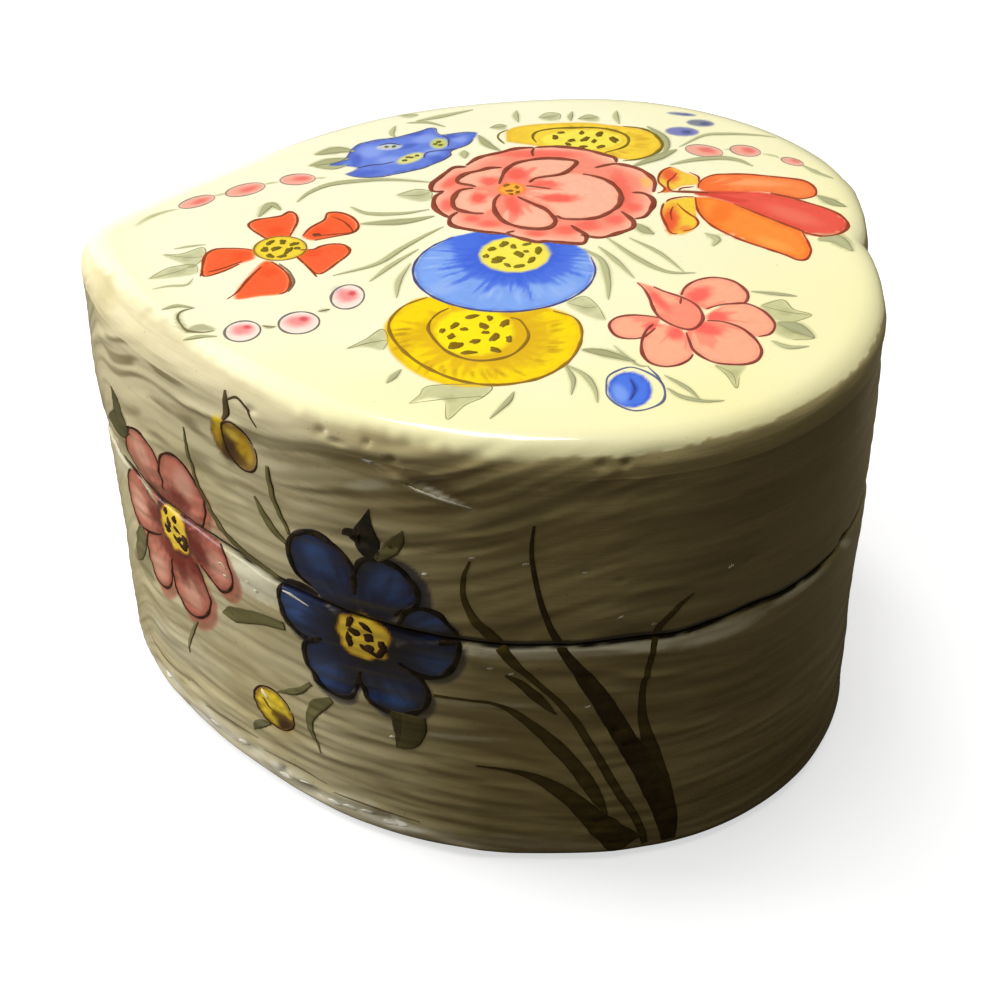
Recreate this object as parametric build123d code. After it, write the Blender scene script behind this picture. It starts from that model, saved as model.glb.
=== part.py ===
from build123d import *
from math import atan2, cos, hypot, sin, sqrt
import os

# A heart-shaped papier mache box with a lift-off lid, in millimetres.
# The tip of the heart points to -X, its cleft to +X, and the box stands on z = 0.

# The heart's outline
length = 101.6            # from the tip to the ends of the two lobes
breadth = 91.4            # across the lobes
tip_radius = 8.0
side_radius = 75.0        # the long flank between the tip and a lobe
lobe_offset = 9.5         # each lobe's centre to the side of the middle line
cleft_radius = 1.5        # the crease between the lobes

# Heights
height = 64.4             # the whole box, lid on
seam_height = 37.0        # where the lid's wall meets the base's wall
collar_stand = 5.0        # how far the collar stands above the seam

# Thicknesses
wall = 3.4                # pasted and gessoed pulp of the base's wall
floor_thickness = 3.0
top_thickness = 4.6       # the lid's panel, thick enough to hold its whole soft shoulder
collar_thickness = 1.4
lining_thickness = 0.4    # a sheet of paper pasted over the inside of a panel
underside_thickness = 0.4

# Fits
lid_clearance = 0.35      # all round, between the collar and the lid's wall
lining_margin = 0.3       # a lining stops this short of the wall around it
underside_margin = 0.7    # the underside sheet stops this short of the rounded foot

# Edges
top_round = 4.4           # the lid's soft shoulder
foot_round = 1.5
lid_lip_round = 0.5       # the two lips that make the seam's groove
base_lip_round = 0.7
collar_round = 0.45       # the collar's top edge, which leads the lid on

# Faces that follow from the sizes above, and the two rounds that a thin piece limits
collar_inset = wall + collar_thickness
shoulder = min(top_round, 0.96 * top_thickness)
collar_edge = min(collar_round, 0.45 * collar_thickness)
lid_wall = wall - lid_clearance
floor_base = underside_thickness
floor_top = floor_base + floor_thickness
lid_ceiling = height - top_thickness


def at_angle(centre, radius, angle):
    """A point on a circle, the angle in radians."""
    return centre[0] + radius * cos(angle), centre[1] + radius * sin(angle)


def flip(point):
    """The same point on the other side of the heart's middle line."""
    return point[0], -point[1]


def direction(start, end):
    return atan2(end[1] - start[1], end[0] - start[0])


def flank_centre(tip, lobe, to_tip, to_lobe):
    """The centre of the flank's arc: to_tip and to_lobe away from the other two centres."""
    span = hypot(lobe[0] - tip[0], lobe[1] - tip[1])
    along = (to_tip**2 - to_lobe**2 + span**2) / (2 * span)
    across = sqrt(to_tip**2 - along**2)
    ux, uy = (lobe[0] - tip[0]) / span, (lobe[1] - tip[1]) / span
    return tip[0] + along * ux + across * uy, tip[1] + along * uy - across * ux


def heart(inset=0.0):
    """The heart as a face: tip, flanks, lobes and cleft as tangent arcs, drawn in by inset."""
    lobe_radius = breadth / 2 - lobe_offset
    tip = (tip_radius - length / 2, 0.0)
    lobe = (length / 2 - lobe_radius, lobe_offset)
    flank = flank_centre(tip, lobe, side_radius - tip_radius, side_radius - lobe_radius)
    cleft = (lobe[0] + sqrt((lobe_radius + cleft_radius) ** 2 - lobe_offset**2), 0.0)

    tip_turn = direction(flank, tip)
    lobe_turn = direction(flank, lobe)
    cleft_turn = direction(lobe, cleft)
    tip_end = at_angle(tip, tip_radius - inset, tip_turn)
    lobe_start = at_angle(lobe, lobe_radius - inset, lobe_turn)
    lobe_end = at_angle(lobe, lobe_radius - inset, cleft_turn)
    flank_middle = at_angle(flank, side_radius - inset, (tip_turn + lobe_turn) / 2)
    lobe_middle = at_angle(lobe, lobe_radius - inset, (lobe_turn + cleft_turn) / 2)
    tip_middle = (tip[0] - tip_radius + inset, 0.0)
    cleft_middle = (cleft[0] - cleft_radius - inset, 0.0)

    edges = [
        ThreePointArc(flip(tip_end), tip_middle, tip_end),
        ThreePointArc(tip_end, flank_middle, lobe_start),
        ThreePointArc(lobe_start, lobe_middle, lobe_end),
        ThreePointArc(lobe_end, cleft_middle, flip(lobe_end)),
        ThreePointArc(flip(lobe_end), flip(lobe_middle), flip(lobe_start)),
        ThreePointArc(flip(lobe_start), flip(flank_middle), flip(tip_end)),
    ]
    return Face(Wire(edges))


def slab(inset, low, high):
    """A flat heart-shaped block between two heights."""
    return Pos(0, 0, low) * extrude(heart(inset), amount=high - low, dir=(0, 0, 1))


def edges_at(solid, z):
    """The edges that lie flat at one height."""
    return solid.edges().filter_by_position(Axis.Z, z, z)


def ring(outer, inner_inset, low, high):
    """What is left of a block when a smaller heart is taken out between two heights."""
    return outer - slab(inner_inset, low, high)


def make_base_wall():
    block = slab(0, floor_base, seam_height)
    block = fillet(edges_at(block, seam_height), base_lip_round)
    block = fillet(edges_at(block, floor_base), foot_round)
    return ring(block, wall, floor_base, seam_height)


def make_base_floor():
    return slab(wall, floor_base, floor_top)


def make_underside_sheet():
    return slab(foot_round + underside_margin, 0, underside_thickness)


def make_locating_collar():
    """The inner strip: it stands on the floor, glued inside the wall, and rises into the lid."""
    top = seam_height + collar_stand
    block = slab(wall, floor_top, top)
    tube = ring(block, collar_inset, floor_top, top)
    return fillet(edges_at(tube, top), collar_edge)


def make_floor_lining():
    return slab(collar_inset + lining_margin, floor_top, floor_top + lining_thickness)


def make_lid_wall():
    block = slab(0, seam_height, lid_ceiling)
    block = fillet(edges_at(block, seam_height), lid_lip_round)
    return ring(block, lid_wall, seam_height, lid_ceiling)


def make_lid_top():
    """The panel that closes the lid, glued on top of its wall."""
    block = slab(0, lid_ceiling, height)
    return fillet(edges_at(block, height), shoulder)


def make_lid_lining():
    return slab(lid_wall + lining_margin, lid_ceiling - lining_thickness, lid_ceiling)


pieces = {
    "underside_sheet": make_underside_sheet,
    "base_floor": make_base_floor,
    "base_wall": make_base_wall,
    "locating_collar": make_locating_collar,
    "floor_lining": make_floor_lining,
    "lid_wall": make_lid_wall,
    "lid_top": make_lid_top,
    "lid_lining": make_lid_lining,
}

os.makedirs("parts", exist_ok=True)
for name, make in pieces.items():
    export_step(make(), f"parts/{name}.step")
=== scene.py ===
import math

import bpy
import numpy as np
from mathutils import Matrix, Vector


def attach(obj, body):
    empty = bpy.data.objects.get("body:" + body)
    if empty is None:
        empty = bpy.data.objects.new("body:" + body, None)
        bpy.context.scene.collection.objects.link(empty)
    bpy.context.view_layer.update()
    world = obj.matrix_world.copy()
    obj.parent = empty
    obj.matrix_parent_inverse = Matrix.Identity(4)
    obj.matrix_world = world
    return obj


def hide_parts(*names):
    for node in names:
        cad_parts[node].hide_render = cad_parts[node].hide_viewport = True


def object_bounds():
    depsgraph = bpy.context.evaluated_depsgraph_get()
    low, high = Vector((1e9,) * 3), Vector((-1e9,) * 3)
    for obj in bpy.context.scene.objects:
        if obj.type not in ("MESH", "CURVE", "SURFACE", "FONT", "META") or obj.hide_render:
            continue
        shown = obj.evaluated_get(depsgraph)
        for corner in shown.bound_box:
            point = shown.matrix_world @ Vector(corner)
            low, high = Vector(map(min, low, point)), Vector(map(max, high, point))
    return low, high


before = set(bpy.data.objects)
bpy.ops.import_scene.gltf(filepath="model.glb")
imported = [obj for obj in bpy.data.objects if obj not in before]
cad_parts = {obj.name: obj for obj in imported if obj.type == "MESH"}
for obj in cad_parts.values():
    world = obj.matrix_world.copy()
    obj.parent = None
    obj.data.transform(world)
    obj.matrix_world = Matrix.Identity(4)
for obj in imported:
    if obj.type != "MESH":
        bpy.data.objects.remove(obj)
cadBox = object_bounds()
print("frame loaded:", ", ".join(sorted(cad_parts)))

mm = 0.001  # lengths below are in millimetres, and meshes are in metres


camera = dict(place=(11.43, -200.80, 174.85), forward=(-0.03504, 0.79732, -0.60253),
              up=(-0.00966, 0.60260, 0.79798), lens=64.84, sensor=36.0)


def addObject(name, data):
    thing = bpy.data.objects.new(name, data)
    bpy.context.scene.collection.objects.link(thing)
    return thing


def makeCamera():
    data = bpy.data.cameras.new("boxCamera")
    data.lens = camera["lens"]
    data.sensor_width = camera["sensor"]
    data.clip_start = 0.005
    data.clip_end = 20.0
    cam = addObject("boxCamera", data)
    forward = Vector(camera["forward"]).normalized()
    up = Vector(camera["up"])
    right = forward.cross(up).normalized()
    up = right.cross(forward)
    turn = Matrix((right, up, -forward)).transposed()
    cam.matrix_world = Matrix.Translation(Vector(camera["place"]) * mm) @ turn.to_4x4()
    bpy.context.scene.camera = cam


makeCamera()
print("camera placed")


heart = dict(length=101.6, tipRadius=8.0, sideRadius=75.0, lobeRadius=36.2, lobeOffset=9.5,
             cleftRadius=1.5)
levels = dict(foot=0.4, seam=37.0, joint=59.8, top=64.4, shoulder=4.4, footRound=1.5,
              baseLip=1.0, lidLip=0.5)


def heartArcs():
    # The near half from the tip: each arc's centre, radius, first angle, sense and length. The
    # side's centre is where circles about the tip's and the lobe's centres cross.
    tipR, sideR, lobeR, cleftR = (heart[k + "Radius"] for k in ("tip", "side", "lobe", "cleft"))
    end, offset = heart["length"] / 2, heart["lobeOffset"]
    tip = np.array([tipR - end, 0.0])
    lobe = np.array([end - lobeR, -offset])
    ra, rb = sideR - tipR, sideR - lobeR
    apart = lobe - tip
    d = np.hypot(*apart)
    along = (ra * ra - rb * rb + d * d) / (2 * d)
    across = math.sqrt(ra * ra - along * along)
    e = apart / d
    side = tip + e * along + np.array([-e[1], e[0]]) * across
    reach = lobeR + cleftR
    cleft = np.array([lobe[0] + math.sqrt(reach ** 2 - offset ** 2), 0.0])
    turnA = math.atan2(*(tip - side)[::-1]) % math.tau
    turnB = math.atan2(*(lobe - side)[::-1]) % math.tau
    turnC = math.atan2(*(cleft - lobe)[::-1]) + math.tau
    return [(tip, tipR, math.pi, 1, (turnA - math.pi) * tipR),
            (side, sideR, turnA, 1, (turnB - turnA) * sideR),
            (lobe, lobeR, turnB, 1, (turnC - turnB) * lobeR),
            (cleft, cleftR, turnC - math.pi, -1, (turnC - math.tau) * cleftR)]


arcs = heartArcs()
halfRound = sum(a[4] for a in arcs)
fullRound = 2 * halfRound


def heartCurve(s):
    # Place and outward direction at arc length s from the tip, near side first: the four arcs in
    # turn, and past the cleft the same arcs mirrored.
    s = np.mod(np.asarray(s, float), fullRound)
    far = s > halfRound
    t = np.where(far, fullRound - s, s)
    x, y, nx, ny = (np.zeros_like(t) for _ in range(4))
    start = 0.0
    for centre, radius, first, sense, length in arcs:
        here = (t >= start) & (t <= start + length + 1e-9)
        a = first + sense * (t - start) / radius
        x = np.where(here, centre[0] + radius * np.cos(a), x)
        y = np.where(here, centre[1] + radius * np.sin(a), y)
        nx = np.where(here, sense * np.cos(a), nx)
        ny = np.where(here, sense * np.sin(a), ny)
        start += length
    return x, np.where(far, -y, y), nx, np.where(far, -ny, ny)


# per cent of the radius, a cosine and a sine for each number of waves round the box
uneven = dict(centre=5.0, shift=1.36, waves=((-0.35, -4.3), (-0.06, 1.72), (1.2, -0.15), (0.52, 0.52),
                                             (-0.62, -0.42), (0.29, 0.34)), spare=0.08)


def bend(x, y):
    # Hand-made unevenness: the distance from a centre grows or shrinks by a few waves round it.
    angle = np.arctan2(y, x - uneven["centre"])
    grow = sum(c * np.cos(k * angle) + d * np.sin(k * angle)
               for k, (c, d) in enumerate(uneven["waves"], 1)) / 100
    return uneven["centre"] + (x - uneven["centre"]) * (1 + grow), y * (1 + grow) + uneven["shift"]


edgeX, edgeY = bend(*heartCurve(np.linspace(0, fullRound, 4000))[:2])
halfBreadth = (cadBox[1][1] - cadBox[0][1]) / 2 / mm
fitX = min(1, (heart["length"] / 2 - uneven["spare"]) / np.abs(edgeX).max())
fitY = min(1, (halfBreadth - uneven["spare"]) / np.abs(edgeY).max())
edgeX, edgeY = edgeX * fitX, edgeY * fitY


def ringPoint(s, inset):
    # A point of the outline moved inwards by inset, with the unevenness put on it.
    x, y, nx, ny = heartCurve(s)
    x, y = bend(x - inset * nx, y - inset * ny)
    return x * fitX, y * fitY


def outward(s):
    # The level direction square to the uneven outline.
    ax, ay = ringPoint(np.asarray(s) - 0.05, 0)
    bx, by = ringPoint(np.asarray(s) + 0.05, 0)
    run = np.hypot(bx - ax, by - ay)
    return (by - ay) / run, (ax - bx) / run


def smooth(a, b, t):
    # 0 below a, 1 above b (or the other way round), with a half wave between.
    t = np.clip((t - a) / (b - a), 0, 1)
    return t * t * (3 - 2 * t)


def lattice(u, v, across, up, seed):
    # Value noise from 0 to 1: random numbers on a grid that repeats in u every 1, blended smoothly.
    table = np.random.default_rng(seed).random((up + 3, across))
    gu = np.mod(u, 1) * across
    gv = np.clip(v, 0, 0.9999) * up
    iu, iv = np.floor(gu).astype(int), np.floor(gv).astype(int)
    fu, fv = gu - iu, gv - iv
    fu, fv = fu * fu * (3 - 2 * fu), fv * fv * (3 - 2 * fv)
    ju = (iu + 1) % across
    iu = iu % across
    low = table[iv, iu] * (1 - fu) + table[iv, ju] * fu
    high = table[iv + 1, iu] * (1 - fu) + table[iv + 1, ju] * fu
    return low * (1 - fv) + high * fv


relief = dict(push=0.55, ridge=0.8, swell=0.7, fine=0.26, topWave=0.22, step=0.25)
# where the hand-cut seam runs above or below its mean height: arc length, height
seamKnots = (
    (0, 0.2), (12, 0.2), (17, 0.6), (21, 0.2), (33, 0.7), (40, 0.7), (47, 0.1), (70, -0.5), (75, -0.75),
    (82, -0.5), (90, -0.15), (95, -0.45), (100, 0.1), (105, 0.5), (110, 0.0), (120, 0.0), (126, 0.3),
    (150, 0.2), (180, -0.4), (210, 0.3), (240, 0.6), (270, -0.2))
# how far the brush ridges have climbed at each arc length, and how strong they are there
baseLean = (
    (0, 0), (16, 12), (28, 14), (45, 15), (60, 15.5), (95, 13.5), (135, 13.5), (180, 7), (240, -2),
    (280, -3))
lidLean = (
    (0, 0), (14, 10), (28, 14), (45, 16), (60, 18), (95, 27), (135, 27), (180, 14), (240, 1), (280, -3))
forceKnots = (
    (0, 0.12), (8, 0.22), (20, 0.42), (44, 0.55), (62, 1.0), (86, 1.0), (96, 0.5), (106, 0.2), (140, 0.2),
    (170, 0.6), (240, 0.6), (270, 0.4), (280, 0.15))
# how square the lid's shoulder is: 2 is a quarter circle
squareKnots = ((0, 2.8), (16, 2.3), (32, 2.0), (84, 2.1), (104, 3.2), (150, 3.2), (200, 2.2), (285, 2.4))
# how wide the dark line at the seam is, as a share of its usual width
seamWidth = (
    (0, 0.55), (14, 0.55), (22, 0.35), (33, 0.35), (46, 0.5), (60, 0.9), (72, 1.1), (116, 1.1), (122, 0.4),
    (132, 0.8), (150, 0.5), (200, 0.8), (280, 0.45))
# over how many degrees of the shoulder's turn its two grounds meet, and where; the darker side ground below
# that line is partly painted shade, where the shoulder turns away from the light
meetKnots = ((0, 12), (40, 16), (62, 16), (76, 9), (85, 2), (140, 2), (170, 8), (280, 10))
tiltKnots = ((0, 44), (14, 23), (30, 24), (44, 29), (60, 44), (72, 54), (240, 54), (280, 46))
# how much the brown fibres show, and how far the foot is rubbed
fibreKnots = (
    (0, 0.25), (10, 0.5), (24, 0.8), (50, 0.6), (90, 0.35), (110, 0.15), (140, 0.15), (180, 0.4),
    (280, 0.8))
scuffKnots = ((0, 0.85), (40, 0.85), (62, 0.8), (72, 0.2), (100, 0.1), (140, 0.1), (170, 0.5), (280, 0.7))
# chips and dents: arc length, height, reach along, reach up, depth
dents = (
    (45, 61.2, 0.8, 0.4, 0.3), (54.5, 62.0, 0.7, 0.5, 0.4), (56.5, 61.4, 1.2, 0.35, 0.4),
    (60, 62.2, 0.5, 0.4, 0.4), (63, 60.8, 0.6, 0.4, 0.35), (85.5, 61.9, 0.7, 0.5, 0.5),
    (88.2, 61.8, 0.5, 0.5, 0.45), (79, 59.2, 0.8, 0.3, 0.3), (88, 45.8, 0.6, 0.3, 0.25),
    (60, 3.4, 1.5, 0.8, 0.5), (84, 47.2, 0.5, 0.3, 0.3), (49, 2.8, 2.0, 0.7, 0.6), (44, 3.4, 0.8, 0.6, 0.5),
    (38, 3.2, 1.4, 0.7, 0.4), (104, 44.5, 0.4, 0.4, 0.25), (123, 37.4, 1.2, 0.5, 0.4),
    (210, 61.0, 1.2, 0.5, 0.4), (246, 3.0, 1.8, 0.8, 0.5), (175, 59.9, 1.0, 0.5, 0.4),
    (280, 36.0, 1.0, 0.5, 0.3))
# raised folds in the skin: a line of arc lengths and heights, with its reach across and its height
folds = (
    (((56, 61.5), (61, 59.8), (66, 57.3), (72, 55.6)), 0.42, 0.55),
    (((4, 50), (12, 56), (22, 60)), 0.8, 0.35), (((30, 56.5), (36, 57.4), (46, 58.4)), 0.7, 0.3),
    (((66, 50.5), (74, 52.5), (86, 57)), 0.5, 0.3), (((236, 60), (246, 57), (254, 56)), 0.6, 0.4))


def joined(knots, s):
    # A value that runs smoothly round the box between its knots, by half waves.
    knots = np.array(knots, float)
    at = np.append(knots[:, 0], fullRound)
    rise = np.append(knots[:, 1], knots[0, 1])
    s = np.mod(np.asarray(s, float), fullRound)
    k = np.clip(np.searchsorted(at, s, side="right") - 1, 0, len(at) - 2)
    t = (s - at[k]) / (at[k + 1] - at[k])
    return rise[k] + (rise[k + 1] - rise[k]) * t * t * (3 - 2 * t)


def seamShift(s):
    # The rise and fall of the seam, the same for both lips.
    return joined(seamKnots, s)


def segmentGap(px, py, line, closed):
    # For each point, the distance to the nearest run of a line, and how far along the line that is.
    a = line
    b = np.roll(line, -1, 0) if closed else line[1:]
    a = a if closed else line[:-1]
    run = b - a
    length = np.maximum(np.hypot(*run.T), 1e-9)
    along = ((px[:, None] - a[None, :, 0]) * run[None, :, 0]
             + (py[:, None] - a[None, :, 1]) * run[None, :, 1]) / length ** 2
    along = np.clip(along, 0, 1)
    gx = px[:, None] - a[None, :, 0] - along * run[None, :, 0]
    gy = py[:, None] - a[None, :, 1] - along * run[None, :, 1]
    gap = np.hypot(gx, gy)
    k = gap.argmin(1)
    rows = np.arange(len(px))
    travelled = np.concatenate([[0], np.cumsum(length)])
    place = (travelled[k] + along[rows, k] * length[k]) / travelled[-1]
    return gap[rows, k], place


roomS = np.linspace(0, fullRound, 3001)


def findRoom():
    # How far outwards the skin may stand at each arc length before it leaves the frame's box.
    x, y = ringPoint(roomS, 0)
    nx, ny = outward(roomS)
    toX = (heart["length"] / 2 - uneven["spare"] - np.abs(x)) / np.maximum(np.abs(nx), 0.02)
    toY = (halfBreadth - uneven["spare"] - np.abs(y)) / np.maximum(np.abs(ny), 0.02)
    return np.clip(np.minimum(toX, toY), 0, relief["push"])


room = findRoom()


def noisePlace(s, z):
    # Arc length and height as shares of the round and of the height that the noise covers.
    return s / fullRound, (z + 4) / 76


def brushed(s, z, lid):
    # Coordinates along and across the brush: heights wander a little and climb with its lean.
    u, v = noisePlace(s, z)
    wander = 2.6 * (lattice(u, v, 14, 4, 11) - 0.5) + 0.6 * (lattice(u, v, 40, 9, 12) - 0.5)
    return u, v, (z + 26 + wander - joined(lidLean if lid else baseLean, s)) / 112


def ridgeDepth(s, z, lid):
    # How far the skin lies under the crests of the brush ridges, from 0 to about 1: stretched noise,
    # part of it creased, drawn out along the wall and climbing with the brush; then finer threads.
    u, v, w = brushed(s, z, lid)
    broad = np.abs(2 * lattice(u, w, 26, 42, 18) - 1)
    soft = 1 - lattice(u, w, 36, 92, 13)
    strength = joined(forceKnots, s) * (0.35 + 1.1 * lattice(u, v, 14, 6, 16))
    thread = 1 - lattice(u, w, 52, 150, 14)
    return (0.3 * broad + 0.7 * soft) * strength, thread * (0.3 + 0.7 * strength)


def wallRelief(s, z, lid=False):
    # Millimetres outwards: a small push, less broad swells of the paper pulp, the ridges, chips and
    # the lid's set-in lower edge, and more for the folds. It never passes the room there is.
    u, v = noisePlace(s, z)
    most = np.interp(np.mod(s, fullRound), roomS, room)
    ridge, thread = ridgeDepth(s, z, lid)
    out = -relief["swell"] * (1 - lattice(u, v, 15, 6, 15)) * smooth(-2, 8, z) - relief["ridge"] * ridge
    out = out - relief["fine"] * thread
    for line, across, high in folds:
        gap, at = segmentGap(np.ravel(s), np.ravel(z), np.array(line, float), False)
        fold = high * np.exp(-(gap / across) ** 2) * smooth(0, 0.3, at) * smooth(1, 0.7, at)
        out = out + fold.reshape(np.shape(s))
    for ds, dz, along, high, depth in dents:
        gap = np.mod(s - ds + fullRound / 2, fullRound) - fullRound / 2
        out = out - depth * np.exp(-(gap / along) ** 2 - ((z - dz) / high) ** 2)
    if lid:
        out = out - relief["step"] * (1 - smooth(0.3, 4.0, z - levels["seam"] - seamShift(s)))
    return most + np.minimum(out, 0) * (0.45 + 0.55 * most / relief["push"])


def topWave(x, y):
    # How far the top sinks below its highest plane: slow waves, and a little brushwork.
    u, v = (x + 60) / 120, (y + 50) / 100
    slow = lattice(u, v, 5, 4, 21)
    brush = lattice(u + 0.15 * v, v, 16, 40, 22)
    return 0.07 + relief["topWave"] * slow + 0.03 * brush


def rounded(depth, radius, square=2.0):
    # How far a rounded edge stands in at a depth under its end: a circle, or squarer than one.
    return radius - np.maximum(radius ** square - depth ** square, 0) ** (1 / square)


def profileOut(s, z, seam, lid):
    # How far the outer face stands in from the outline at height z: round at the foot, at each lip
    # and at the lid's shoulder.
    lv = levels
    inset = rounded(lv["footRound"] - np.clip(z - lv["foot"], 0, lv["footRound"]), lv["footRound"])
    lip = lv["lidLip"] if lid else lv["baseLip"]
    inset = np.maximum(inset, rounded(lip - np.clip(z - seam if lid else seam - z, 0, lip), lip))
    depth = lv["shoulder"] - np.clip(lv["top"] - z, 0, lv["shoulder"])
    return np.maximum(inset, rounded(depth, lv["shoulder"], joined(squareKnots, s)))


def wallPoint(s, z, lift=0.0, lid=False):
    # The outer skin at arc length s and height z, with its relief, moved out by lift.
    s, z = np.broadcast_arrays(np.asarray(s, float), np.asarray(z, float))
    seam = levels["seam"] + seamShift(s)
    x, y = ringPoint(s, profileOut(s, z, seam, lid))
    nx, ny = outward(s)
    rise = np.clip((z - (levels["top"] - levels["shoulder"])) / levels["shoulder"], 0, 1)
    tilt = np.arcsin(rise ** (joined(squareKnots, s) / 2))
    ease = 1 - smooth(0.25, 1.2, tilt)
    out = wallRelief(s, z, lid) * ease + lift
    return x + nx * out * np.cos(tilt), y + ny * out * np.cos(tilt), z + out * np.sin(tilt)


def topPoint(x, y, lift=0.0):
    # The lid's top at a point: its plane less the slow wave, and the shoulder's drop near the edge,
    # from the distance to the nearest point of the outline.
    x, y = np.broadcast_arrays(np.asarray(x, float), np.asarray(y, float))
    flat = np.column_stack([x.ravel(), y.ravel()])
    edge = np.column_stack([edgeX, edgeY])[::4]
    near = np.full(len(flat), levels["shoulder"])
    square = np.full(len(flat), 2.0)
    edgeSquare = joined(squareKnots, np.linspace(0, fullRound, len(edgeX)))[::4]
    rim = np.flatnonzero(np.hypot(flat[:, 0] * 0.9, flat[:, 1]) > 26)
    for part in np.array_split(rim, max(1, len(rim) // 4000)):
        if len(part):
            gap = flat[part][:, None, :] - edge[None]
            gap = (gap ** 2).sum(2)
            near[part] = np.sqrt(gap.min(1))
            square[part] = edgeSquare[gap.argmin(1)]
    r = levels["shoulder"]
    depth = r - np.clip(near.reshape(x.shape), 0, r)
    drop = rounded(depth, r, square.reshape(x.shape))
    ease = np.sqrt(np.maximum(1 - (depth / r) ** 2, 0))
    return x, y, levels["top"] - drop - topWave(x, y) * ease + lift


def gridFaces(rows, columns, wrapRows=False, wrapColumns=True):
    # Four-cornered faces of a grid of points, row by row, joined round where it closes on itself.
    i = np.arange(rows if wrapRows else rows - 1)[:, None]
    j = np.arange(columns if wrapColumns else columns - 1)[None]
    ii, jj = (i + 1) % rows, (j + 1) % columns
    return np.stack([i * columns + j, i * columns + jj, ii * columns + jj, ii * columns + j],
                    -1).reshape(-1, 4)


def makeMesh(name, points, quads, extra=(), normals=None):
    # One mesh from points in millimetres and whole arrays of faces, shaded smooth.
    mesh = bpy.data.meshes.new(name)
    points = np.asarray(points, float) * mm
    sizes = np.concatenate([np.full(len(quads), quads.shape[1] if len(quads) else 4)]
                           + [[len(e)] for e in extra]).astype(np.int32)
    corners = np.concatenate([quads.ravel()] + [np.asarray(e) for e in extra]).astype(np.int32)
    mesh.vertices.add(len(points))
    mesh.vertices.foreach_set("co", points.astype(np.float32).ravel())
    mesh.loops.add(len(corners))
    mesh.loops.foreach_set("vertex_index", corners)
    mesh.polygons.add(len(sizes))
    starts = np.concatenate([[0], np.cumsum(sizes)[:-1]]).astype(np.int32)
    mesh.polygons.foreach_set("loop_start", starts)
    mesh.polygons.foreach_set("use_smooth", np.ones(len(sizes), bool))
    mesh.update(calc_edges=True)
    mesh.validate()
    if normals is not None:
        mesh.normals_split_custom_set_from_vertices(normals.tolist())
    return addObject(name, mesh)


def storeColour(piece, rgb, alpha):
    # Paint laid on the ground, as colour times cover with the cover in the fourth place.
    layer = piece.data.color_attributes.new("paint", "FLOAT_COLOR", "POINT")
    layer.data.foreach_set("color", np.column_stack([rgb, alpha]).astype(np.float32).ravel())


def storeValue(piece, values, name):
    layer = piece.data.attributes.new(name, "FLOAT", "POINT")
    layer.data.foreach_set("value", np.asarray(values, np.float32))


def stations(parts):
    # Arc lengths with a closer spacing where there is fine painting: each part's end and step.
    out, start = [], 0.0
    for end, step in parts:
        n = max(1, round((end - start) / step))
        out.append(start + (end - start) * np.arange(n) / n)
        start = end
    return np.concatenate(out)


def linear(colour):
    c = np.asarray(colour, float) / 255
    return np.where(c <= 0.04045, c / 12.92, ((c + 0.055) / 1.055) ** 2.4)


def curve(points, closed=False, step=0.5):
    # A smooth line through the given points (Catmull-Rom), as a list of short straight runs.
    p = np.asarray(points, float)
    if len(p) < 3 and not closed:
        n = max(2, int(np.hypot(*(p[1] - p[0])) / step) + 1)
        return p[0] + (p[1] - p[0]) * np.linspace(0, 1, n)[:, None]
    if closed:
        a, b, c, d = np.roll(p, 1, 0), p, np.roll(p, -1, 0), np.roll(p, -2, 0)
    else:
        q = np.vstack([2 * p[0] - p[1], p, 2 * p[-1] - p[-2]])
        a, b, c, d = q[:-3], q[1:-2], q[2:-1], q[3:]
    n = max(3, int(np.hypot(*(c - b).T).max() / step) + 1)
    t = (np.arange(n) / n)[None, :, None]
    a, b, c, d = (w[:, None, :] for w in (a, b, c, d))
    line = 0.5 * (2 * b + (c - a) * t + (2 * a - 5 * b + 4 * c - d) * t ** 2
                  + (3 * b - a - 3 * c + d) * t ** 3)
    line = line.reshape(-1, 2)
    return line if closed else np.vstack([line, p[-1]])


def oval(cx, cy, rx, ry, turn=0.0, count=14):
    # Points round an ellipse turned by some degrees.
    a = np.arange(count) / count * math.tau
    t = math.radians(turn)
    x, y = rx * np.cos(a), ry * np.sin(a)
    return np.column_stack([cx + x * math.cos(t) - y * math.sin(t), cy + x * math.sin(t) + y * math.cos(t)])


def inside(px, py, loop):
    # Even-odd test: how many edges of the loop a level line from each point crosses.
    ax, ay = loop.T
    bx, by = np.roll(loop, -1, 0).T
    straddle = (ay[None] > py[:, None]) != (by[None] > py[:, None])
    with np.errstate(divide="ignore", invalid="ignore"):
        cross = ax[None] + (py[:, None] - ay[None]) * (bx - ax)[None] / (by - ay)[None]
    return (straddle & (px[:, None] < cross)).sum(1) % 2 == 1


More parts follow.
